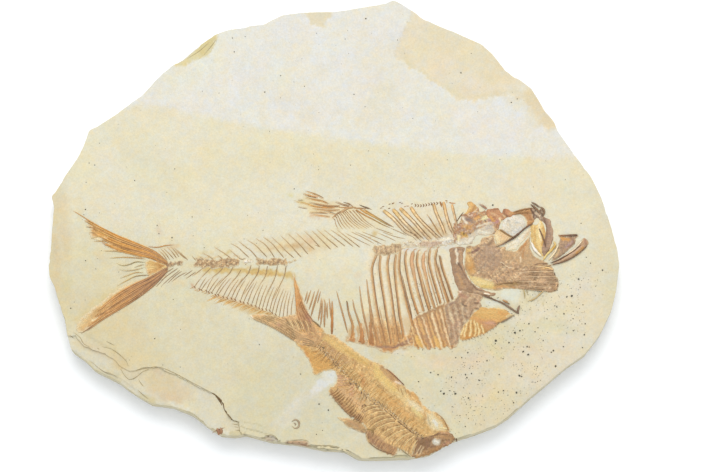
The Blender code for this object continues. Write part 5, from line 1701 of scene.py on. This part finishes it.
tailLeft = spots("""
-42,-44.4 -38,-43.6 -33,-43.8 -28,-45 -24,-44.6 -20.4,-43.6 -17,-44 -12,-52 -10,-58 -16,-60 -19.6,-57.5
-25,-53.7 -30,-51 -35,-48.1 -40,-46.2
""")
tailMarks = marks("""
-20,-26 -18.4,-31 -17.4,-36 -15,-40 d09f5e 1.4 .8 2.2
-17.6,-35.6 -17.8,-38 c47a4c 1 .8 1.4
-16.6,-39 -15,-44 -13,-50 -10.6,-54 ab8560 2 .8 4
-13.6,-44 -12,-47 b07a6c 1.4 .7 1.8
-12,-44 -9,-48 d8b080 .7 .6 .6
-15,-41 -12,-46.6 94705a .8 .5 .6
-10.6,-47 -7,-50.2 86704f .6 .7 .6
-9,-49.6 -6,-52 d0a468 1.2 .7 1.4
""")
leftMarks = marks("""
-27,-49 -21,-53 -16,-56.4 -12,-56 b8966e 2 .7 3
-28,-48.4 -26,-50 b58a72 1.4 .6 1.6
-41,-45 -35,-46 -29,-47.6 d2b07a 1.6 .7 1.8
-24,-47.6 -17,-50 -20,-52.6 -23,-50 b59c78 1.2 .6
-42,-44.6 -40.6,-45.6 f2ece0 .5 .9 1
-16,-46 -17.6,-49 9c8460 1 .6 2
-16,-52.6 -13,-52 cfa060 1.2 .8 2
-31,-44.6 -26,-46 d8b880 1.2 .6 1
-35,-47.6 -28,-51.6 b8926a .7 .6 .6
""")
smallFin = spots("""
1.6,-95.2 5,-95.4 9,-95.8 12,-96.6 15.4,-99.4 16.4,-102.6 14.8,-103.2 10,-101.6 6.4,-100 4.8,-98.2
""")
finMarks = marks("""
2,-95.4 5,-96.8 dcc494 1.2 .8 1.6
8,-98 12,-99.6 a88a68 1.2 .7 2
6.6,-100 11,-101.6 15.4,-102.9 8d6a54 .6 .8 .7
4,-96 10,-98 14.6,-100.6 c4986c .6 .6 .6
""")
smallHead = spots("""
40.6,-104.8 43.6,-105 46,-104.6 50,-102.9 54,-101.8 57,-102.6 59,-104.6 59.7,-106.8 57.4,-108.9 53.4,-110.6
50,-112.4 46,-114.3 43,-115.3 40.2,-115.3 38.6,-114.4 39.8,-111.6 40,-108
""")
headMarks = marks("""
40.4,-105.6 48.4,-105.4 48,-110.6 42,-112.6 86674a 2 .85
48.6,-106.8 50.4,-106 52.8,-106.6 52,-108.6 50,-109.3 49,-108.4 d2ccba 1 .85
47.6,-105 51,-103.9 56,-104 7a5838 .6 .8 .7
47,-110 51,-109.6 6b4a34 .6 .7 .6
52.6,-105 58,-105.6 b08a60 1.4 .7 2
53,-102.6 57,-103.4 c9986c .9 .6 1
41,-115.6 47,-113.4 53,-109.6 b08658 1.2 .75 1.8
54,-109 57,-107.6 c09074 .9 .7 1
50,-107.2 51.4,-107.8 e6e4da .6 .8 .8
40.4,-113.6 43,-109.6 e2cba4 .5 .8 .5
41.8,-114.4 44,-110.4 e2cba4 .5 .7 .5
46,-107 46.4,-110 8a6a58 1.2 .5 1.4
58.6,-104.6 59.2,-106.4 8d6a48 .7 .7 .8
44,-112.6 50,-110.6 a07a50 1.4 .5 1.4
""")
scaly = dict(crazing=[(0.9, "dcb880 cca468 e4c892 bc9260", 0.25, "98713f", 0.36)])
print("small fish")
finishPiece(platePiece("smallFishBody", [
    (smallBody, dict(scaly, tone="d4b27c", fade=0.9, height=0.35, mottle=0.13, crumple=0.07, relief=0.06,
        ragged=0.35, streaks=[(60, 10, 0.6, 0.1), (-60, -20, 0.7, 0.06)], grid=0.42), bodyMarks),
    (tailRight, dict(tone="cfa878", fade=0.8, height=0.4, mottle=0.12, streaks=[(-6, -60, 0.6, 0.14)]),
        tailMarks),
    (tailLeft, dict(tone="d4b082", fade=0.9, height=0.4, mottle=0.12, streaks=[(0, -62, 0.6, 0.14)],
        crazing=[(1.1, "c4986a b08a64 d2ae7c", 0.3, "8d6f54", 0.2)]), leftMarks),
    (smallFin, dict(tone="b8986c", fade=0.8, height=0.35, mottle=0.12, streaks=[(40, -112, 0.6, 0.14)]),
        finMarks)], fossilFilm), ["small_fish"])
finishPiece(platePiece("smallFishHead", [
    (smallHead, dict(tone="a58664", height=0.7, mottle=0.16, crumple=0.14, relief=0.18, ragged=0.45,
        crazing=[(1.5, "a48464 8c6e50 b4906a 866850 c4a070 caa884", 0.25, "5e4432", 0.6)]), headMarks)],
        fossilFilm), ["small_fish"])

smallSpine = spots("""
-8,-59.5 -5,-62 -2,-65 1,-68.4 4,-72 7,-75.8 10,-79 13,-81 15.4,-83.6 18,-86 21,-88 25,-90.6 29,-94 33,-97.6
37,-100.6 40,-103 43.4,-105.4
""")
smallBones = []
chips = np.random.default_rng(12)
spinePath = curve(smallSpine, 0.85)
across = normals2d(spinePath)
for k, (point, side) in enumerate(zip(spinePath, across)):
    clear = 28 < point[0] < 42
    for turn in (-1, 1):
        lean = side * turn * chips.uniform(0.3, 1.5 if not clear else 1.1)
        along = np.array([-side[1], side[0]]) * chips.uniform(-0.5, 0.9)
        tone = ["6b5a48", "d8c8a8", "8d7a62", "a89070", "e2d6bc", "75624e"][chips.integers(6)]
        smallBones.append(([point + lean * 0.3, point + lean + along], [1.0, chips.uniform(0.6, 1.1)],
            f"{tone} {'7d6a54' if k % 3 else tone}"))
smallBones.append((curve(smallSpine[11:16], 3) - 0.5, [0.3, 0.45, 0.3], "7a5e44 6b5038 7a5e44"))
for k, (point, side) in enumerate(zip(curve(smallSpine[9:], 0.7), normals2d(curve(smallSpine[9:], 0.7)))):
    smallBones.append(([point - side * 0.2, point - side * 1.1 + (0.4, 0)], [0.45, 0.4],
        ["6b5644", "e8dcc4", "8d745a", "f0e8d6"][k % 4] + " c8ac80"))
# fine bones and muscle bands crossing the body on either side of the backbone
flankBack = spots("-4,-54.6 2,-57 9,-62 16,-67 22,-70 29,-76 34,-81 38,-87 44,-94 50,-101")
flankBelly = spots("-15,-62 -11,-69 -6,-72.4 -1,-72 2,-77 1,-81 6,-88 12,-94")
flanks = [(smallSpine, flankBack, 90, ["bc9660 c8a26a d2b27a", "d8bc84 dcc28c dac28a",
    "b48e5c c09a62 ccaa70"]), (smallSpine[:9], flankBelly, 46,
    ["b48c5a c2985f d0aa70", "d8ba84 dcc08c d8bc88", "a8825a b48c5c c09c68"])]
for spine, far, count, tones in flanks:
    for k, (near, tip) in enumerate(zip(spread(curve(spine, 1.0), count), spread(far, count))):
        near, tip = near + chips.normal(0, 0.3, 2), near + (tip - near) * chips.uniform(0.3, 0.75)
        lean = np.array([near[1] - tip[1], tip[0] - near[0]]) * chips.uniform(0.05, 0.2)
        smallBones.append(([near, (near + tip) / 2 + lean, tip], [0.26, 0.34, 0.2], tones[k % 3]))
# ribs sweep back and down from the front half of the backbone
ribTops = spots("22,-89 25,-91.2 28.6,-94.4 32,-97.6 36,-100.8 39.6,-103.6 42.4,-106.6")
ribFeet = spots("""
13,-91.6 14.4,-95.4 16.4,-99.6 18.6,-104 24,-108.4 31.6,-112.2 39.8,-114.8
""")
for k, (top, foot) in enumerate(zip(spread(ribTops, 33), spread(ribFeet, 33))):
    reach = foot - top
    bow = np.array([reach[1], -reach[0]]) * 0.1
    mid, late = top + reach * 0.35 + bow, top + reach * 0.72 + bow
    smallBones.append(([top, mid, late, foot], [0.3, 0.42, 0.4, 0.3],
        ["a0805a b08e66 a4845c", "e4cea0 e0ca98 d0b080", "c4a276 ccaa7c bc9a6c"][k % 3]))
# short stout spines along the belly
bellyTops = spots("3,-80.4 6,-84 11,-87 14,-89.6 16.6,-91")
bellyFeet = spots("-1.6,-84 2,-88 6,-92.4 10,-96 13.4,-98")
for k, (top, foot) in enumerate(zip(spread(bellyTops, 32), spread(bellyFeet, 32))):
    smallBones.append(([top + chips.normal(0, 0.45, 2), (top + foot) / 2 + (0.3, -0.3), foot],
        [0.25, 0.4, 0.35], ["a07c58 9c7650 86623f", "dcc096 d0ac7c b89064"][k % 2]))
    if k % 3 == 0:
        smallBones.append(([foot + (1.0, 0.5), foot + (-0.9, -0.3)], [0.6, 0.3], "94704e b08c66"))
# fine hatching on the browner skin in front of the belly fin
hatchTops = spots("17,-101.4 22,-104 27,-108.4 32,-111")
hatchFeet = spots("15.6,-104 19,-109 24,-112.4 29,-114")
smallBones += alike(combRow(hatchTops, hatchFeet, 30, 0.06, 0.35), [0.25, 0.34, 0.25], "a07c5c 9c7a5c",
    "c8a276 ccaa80", "b08a66 b08c68")
smallBones += alike(between(spots("-10,-57.6 -13,-56.4 -16,-56"), spots("-8.6,-59.8 -12,-59.6 -15.4,-58.8"),
    4), [0.4, 0.5, 0.3], "a08a68 94785a ac906c")
smallBones += alike(between([(1.6, -74.4), (5, -74.6)], [(1.8, -79.6), (8, -79)], 5), [0.5, 0.5],
    "d8b090 b08a68")
# rays of the tail's two lobes
smallBones += alike(between(spots("-19.9,-25 -17.2,-34 -14.6,-41 -10,-47.6"),
    spots("-19.6,-28 -19,-36 -18,-44 -14.6,-53"), 9), [0.3, 0.45, 0.45, 0.4], "c8965c b5804e 94705a",
    "d8b078 cfa06a b08a68")
smallBones += alike(between(spots("-40.6,-45.9 -30,-50.6 -19.8,-57"), spots("-33,-44.4 -26,-46.6 -16,-53"),
    11), [0.3, 0.45, 0.5], "c4a67a b89a74 a88c68", "d8be90 ceb084 c0a074")
roots = zip(between((-24, -46), (-13, -46.6), 9), between((-21, -52), (-11, -53), 9))
smallBones += alike([[a, (a + b) / 2 + (0.4, 0), b] for a, b in roots], [0.4, 0.5, 0.4],
    "94805c 8a7450 a08a64", "dcc492 e0cc9c ccb07c")
for line, (width, *tones) in drawn("""
26,-71 30,-74.4 35,-79.4 .45 a0705c 8d5c48 6b4a3c
50.2,-92.8 54,-96 57,-102 .4 c8a070 a87e4c 9a7450
-10.6,-46.8 -8.6,-48.4 -6.6,-50.4 .7 94805f 86704f 7d6a50
35,-80 36,-84 .4 a8865c b8986c
33,-80.6 34.4,-84.6 .4 a8865c b8986c
36.6,-81.8 38.6,-86 .4 b08c5c c8a878
31,-79 32.6,-83 .4 a8865c b8986c
46.4,-94 47.6,-99 .5 b5a27c c8b890
44.4,-90.6 46,-96 .5 dcb884 c8a470
52,-100.6 56,-101 .6 e6d8a8 e6d8a8
33,-111 36,-113.4 38,-115 .5 9a8c6c 8d7f60 a89a78
60.4,-105.6 60.8,-107.4 1 5a4432 6b5140
16,-101 19.4,-102 19,-105.4 .7 b0945f 94784a 86684a
0,-86 4,-90.6 9,-95.4 .35 8d6c4c 86664a 8d6c4c
17,-107.4 22,-111.2 30,-114 .4 8d6c4c 7d5d43 8d6c4c
"""):
    smallBones.append((line, [share * float(width) for share in (0.7, 1, 1)], " ".join(tones)))
finishPiece(strandPiece("smallFishBones", smallBones, fossilBone,
    dict(spineLook, step=0.45, flat=0.6, lift=0.42, ragged=0.5, taper=0.7)), ["small_fish"])

# the slab comes last, so that the stone can be stained round every bone
for line in mainRibs:
    stoneMarks.append((beside(line, 1.0), "dcc29a", 0.9, 0.6, 0.8))
    stoneMarks.append((beside(line, -1.15), "f2e6cc", 0.8, 0.7, 0.7))
for line in backSpines + bellySpines:
    stoneMarks.append((line, "d9c294", 1.2, 0.45, 0.5))
for line in neckLines:
    stoneMarks.append((beside(line, 1.3), "f0e4c8", 0.8, 0.6, 0.7))
print("slab")
finishPiece(makeSlab(limestone), ["limestone_slab"])

# dark mineral grains and a few brown lumps stuck to the stone
darkMineral = mineral("darkMineral", dict(blotchSize=0.8, grainSize=0.2, contrast=0.2, bump=0.3,
    warm=(1.1, 0.95, 0.85), cool=(0.9, 1.0, 1.1), roughness=0.55, specular=0.4))
grains = dict(fieldSmall=1500, elsewhere=300, small=(0.09, 0.24), rimClear=2.5, faces=1)
bigGrains = spots("""
134,-21.5,.4 131.5,-26.5,.3 122,-26,.5 139.8,-30.5,.3 118.5,-34.5,.6 116,-35,.5 124,-39,.3 111,-40,.5
110,-39.5,.3 114.5,-43.5,.5 125,-48.5,.4 97,-48.5,.5 101.5,-50.5,.4 100,-52.5,.35 92.5,-52,.5 90,-53,.6
124.5,-54,.5 125.5,-59.5,.5 123.5,-60.5,.4 96,-60,.5 97,-60.2,.4 94,-62.5,.6 96.5,-64,.7 109,-62,.5
108,-62.8,.4 114,-60,.4 80.5,-57,.7 80.2,-58.5,.35 87,-58,.5 63.5,-65.5,.35 60.5,-65.5,.35 66.5,-63,.4
71,-67.5,.35 76,-67,.4 92,-74.5,.7 93,-75,.4 110,-69.8,.6 48,-73,.4 51.7,-74,.5 58.3,-75.3,.55
65.3,-74,.5 66,-75.5,.4 68.3,-73.5,.4 72,-76.8,.5 42,-77.5,.35 82,-74,.4 53,-82.2,.5 54.5,-83.5,.6
57.5,-82,.35 60.2,-83.5,.6 66.7,-85.7,.5 81.5,-82.7,.4 84,-82,.5 90.5,-83,.5 89,-88,.5 65,-99.8,.4
58.6,-90,.3 62.4,-94.4,.3 -123,33,.3 -120.2,32,.3 -100,24,.35 -80,30,.3 -131,-40.7,.4 -124,-16.7,.35
-89,-56,.35 -88.5,1.2,.3 -87.5,-3,.3 -81,-5,.35 -71,5.5,.3 -35.5,-1.3,.3 -20,19.8,.3 89.3,64.2,.35
92.3,66,.3 12.5,112.8,.3 16,107.6,.45 32,96.5,.3 64,79.5,.4 5.5,97,.3 -9,100,.3 10,68.3,.35 -27,78,.3
-15,72.5,.3 -35,69.5,.35 -51.5,97.5,.3 -50.5,90.3,.3 -7.3,-88.7,.45 -2.7,-91.7,.4 -8.5,-103.7,.4
-16.5,-73.7,.35 -86,-87,.35 79.5,11.5,.5 -124.5,9.3,.35 123.6,2.2,.3 126,-15,.35 128,-18,.3
113,-16.6,.25 -37,-59,.3 106,-46,.3 119,-46,.3 104,-57,.35 119,-52,.35 84,-66,.35 101,-70,.35 104,-78,.3
""")


def grainTree(faces):
    tree, given = groupTree("grains", {"Material": "Material"})
    size = addNode(tree, "GeometryNodeInputNamedAttribute", {"Name": "size"})
    dots = addNode(tree, "GeometryNodeMeshToPoints", {"Mesh": given["Geometry"]})
    grain = addNode(tree, "GeometryNodeMeshIcoSphere", {"Radius": 1.0, "Subdivisions": faces})
    squash = addNode(tree, "FunctionNodeRandomValue", {"data_type": "FLOAT_VECTOR", "Min": (0.7, 0.7, 0.6),
        "Max": (1.25, 1.1, 0.9), "Seed": 4})
    squash = addNode(tree, "ShaderNodeVectorMath", {"operation": "SCALE", 0: squash, "Scale": size})
    turned = addNode(tree, "FunctionNodeRandomValue", {"data_type": "FLOAT_VECTOR", "Max": (0.4, 0.4, 6.28),
        "Seed": 5})
    dots = addNode(tree, "GeometryNodeInstanceOnPoints", {"Points": dots, "Instance": grain,
        "Rotation": turned, "Scale": squash})
    return closeTree(tree, dots, given["Material"])


def scatter(count, low, high, seed):
    shake = np.random.default_rng(seed)
    dots = shake.uniform(low, high, (count, 2))
    return [(x, y, shake.uniform(*grains["small"])) for x, y in dots]


seeds = [(x, y, 0.98 * r) for x, y, r in bigGrains]
field = np.array(scatter(grains["fieldSmall"], (38, -106), (138, -22), 6))
keep = ~inside(*field.T[:2], gillCover) & (cloud(*field.T[:2], 14, 44, 2) > -0.15)
seeds += field[keep].tolist()
seeds = np.array(seeds + scatter(grains["elsewhere"], (-135, -105), (138, 112), 7))
gx, gy, gr = seeds[depthInside(*seeds.T[:2], readRim()) > grains["rimClear"]].T
mesh = bpy.data.meshes.new("grainSeeds")
mesh.from_pydata(toMetres(gx, gy, bedding(gx, gy) + gr * 0.15).tolist(), [], [])
mesh.attributes.new("size", "FLOAT", "POINT").data.foreach_set("value", (gr * mm).astype(np.float32))
body = grow("darkGrains", mesh, grainTree(grains["faces"]), {"Material": darkMineral})
x, y, z = places(body)
setTint(body, linear("grain") * (2.0 + 1.1 * cloud(x, y, 5, 45))[:, None])
print("grains")
finishPiece(addPiece("darkGrains", body, darkMineral))
lumpsAndCrackShade = bones("""
-57.8,-100.6 -56.8,-102.4 -57,-104 1.2 2.2 1.4 b08c6c 946c50 a87c5c
-56,-100.2 -55.6,-102.2 -56,-103.6 .9 1.8 1.4 bc9878 9c7454 ac8464
-58.2,-101.6 -57,-101.4 -55.2,-101.8 .8 1.5 .8 8d6048 6b4432 8d6048
-57.2,-101.2 -60.2,-103 .6 .3 8d6a50 b09878
-56,-101 -53.8,-100.2 .6 .3 a07c60 c0a888
-20.8,-97.4 -18.8,-96.4 -17.2,-97.8 -17.4,-100 -19.2,-100.8 -20.6,-99.6 .6 .9 .9 1 .8 .4 a8987c b5a286
a08c70 b09c80 a8947a c0b090
-19.8,-98 -18.8,-98.8 -19.2,-99.6 .7 .9 .5 b8a68a 94806a b8a68a
""")
# chips of the upper bed, still lying along the split front rim
chipLook = dict(height=0.35, mottle=0.08, crumple=0.1, ragged=0.35, grid=0.4, edge=0.5)
chipEdge = marks("""
-24,-108.6 -12,-109 6b4e38 .5 .8 .5
-30,-106.6 -33,-106.2 a89484 .6 .7 .8
""")
rimChips = drawn("""
-34,-104.9 -31,-104.2 -28.8,-104.9 -27.4,-106.3 -29.4,-106.8 -33.4,-106.4 ddd2bc
-22.6,-107.6 -18.6,-107 -15,-107 -12.9,-107.8 -14.4,-108.5 -18.4,-108.2 c8ab8c
-9,-109.9 -4,-109.7 1.2,-110.4 5.4,-111.4 7.8,-112.8 4,-111.8 -2,-110.9 -7,-110.6 ddd3b2
""")
finishPiece(platePiece("rimChips", [
    (way, dict(chipLook, tone=tone), chipEdge) for way, (tone,) in rimChips], limestone))
# hairline cracks in and beside the broken bed, drawn as dark lines: painted shade in the cracks and along the
# broken steps
cracks = lines("""
-137,-51.4 -133,-52 -130.6,-54 / -129.4,-52.8 -126,-55.6 -124.4,-58.4 -121,-60.4 / -132,-53.6 -129,-56 /
-117.6,-60.6 -116.4,-61.4 / -115,-60 -110.6,-61.2 -106.4,-64 -103,-67.4 -102,-70 / -106,-70.8 -104,-74
-101.4,-76.4 -98.4,-75.4 -95,-72.6 -91.4,-71 / -97,-76 -95.6,-78.4 -94,-80 / -97.4,-81.4 -95,-83.6 -92,-86 /
-113,-57.4 -109,-59.4 / -123,-67 -120,-67.8 -117,-70.4 -113,-73 -109,-74.2 -106,-77 -103,-80 -100,-83
-97,-85.4 / -98,-71.8 -92,-70.6 -87,-70.2 -80,-72.8 -72,-77 -64,-81.2 -58.8,-83.8 / -60.6,-83 -57.4,-85
-54.8,-88.4 -54,-91.4 -51.8,-94.6 -49.6,-97 / -58.8,-84.2 -56.4,-87.2 -55.4,-89.4 / -50,-97 -46.4,-97.6 /
-50.4,-98.4 -46.6,-99 / -49.6,-99.8 -46.8,-100.2 / -49,-101.4 -46,-101.8 / -47,-97 -46.4,-102.6 -44,-104.4 /
-38,-106 -33,-104.2 -29.6,-104.4 -26,-107.6 / -38,-106.2 -32,-107.2 -26,-109.2 / -11,-109 -6,-109.2
-1,-109.4 3,-110.2 6.6,-112 / -44,-104.2 -40,-104.4 / -23,-107 -19,-106.5 -14,-106.6 -12,-107.8 / 4,-113
8,-114 10,-115 / -82,86 -76,88.4 -70,90.4 / -74,87 -68,91 -63,95.6 / -66,88.6 -62,93.6 -59.6,97
""")
inner, crackClear = readRim(), 1.2  # cracks stop this far from the rim
for k, line in enumerate(cracks):
    path = curve(line, 0.8)
    path = path[depthInside(*path.T, inner) > crackClear]
    if len(path) > 2:
        bold = k in (11, 12)
        lumpsAndCrackShade.append((path, [0.5, 0.8, 0.5] if bold else [0.18, 0.3, 0.2],
            "8d7248 6b5436 8d7248" if bold else "b8aa80 9c8a60 b8aa80"))
finishPiece(strandPiece("stoneLumps", lumpsAndCrackShade, darkMineral, dict(ribLook, flat=0.6, step=0.4)))

# light, floor and camera
studio = dict(distance=1.475, elevation=80.0, lens=150.0, aim=(10.0, -4.2, 14.0),
    softboxPlace=(0.0, 0.75, 1.15), softboxSize=1.1, softboxWatts=10.5, sky=0.98,
    paperColour=(0.95, 0.962, 0.985, 1), skyColour=(0.95, 0.98, 1.0, 1), lampColour=(1.0, 0.985, 0.95),
    floorHalf=3.0, floorLevel=-0.0002)


def makeStudio():
    paper = bpy.data.materials.new("paperSweep")
    paper.use_nodes = True
    shader = paper.node_tree.nodes["Principled BSDF"]
    shader.inputs["Base Color"].default_value = studio["paperColour"]
    shader.inputs["Roughness"].default_value = 1.0
    shader.inputs["Specular IOR Level"].default_value = 0.0
    half = studio["floorHalf"]
    corners = [(x * half, y * half, studio["floorLevel"]) for x, y in ((-1, -1), (1, -1), (1, 1), (-1, 1))]
    meshPiece("floor", corners, [(0, 1, 2, 3)], paper)
    world = bpy.data.worlds.new("studio")
    bpy.context.scene.world = world
    world.use_nodes = True
    world.node_tree.nodes["Background"].inputs["Color"].default_value = studio["skyColour"]
    world.node_tree.nodes["Background"].inputs["Strength"].default_value = studio["sky"]
    lamp = bpy.data.lights.new("softbox", "AREA")
    lamp.shape = "DISK"
    lamp.size = studio["softboxSize"]
    lamp.energy = studio["softboxWatts"]
    lamp.color = studio["lampColour"]
    softbox = bpy.data.objects.new("softbox", lamp)
    softbox.location = studio["softboxPlace"]
    softbox.rotation_euler = Vector(studio["softboxPlace"]).to_track_quat("Z", "Y").to_euler()
    bpy.context.scene.collection.objects.link(softbox)
    bpy.context.scene.view_settings.view_transform = "Standard"

    lens = bpy.data.cameras.new("camera")
    lens.lens = studio["lens"]
    lens.sensor_width = 36.0
    tilt = math.radians(studio["elevation"])
    back = Vector((0, -math.cos(tilt), math.sin(tilt)))
    camera = bpy.data.objects.new("camera", lens)
    camera.location = Vector(toMetres(*studio["aim"]).tolist()) + back * studio["distance"]
    camera.rotation_euler = (math.pi / 2 - tilt, 0, 0)
    bpy.context.scene.collection.objects.link(camera)
    bpy.context.scene.camera = camera


print("studio")
makeStudio()
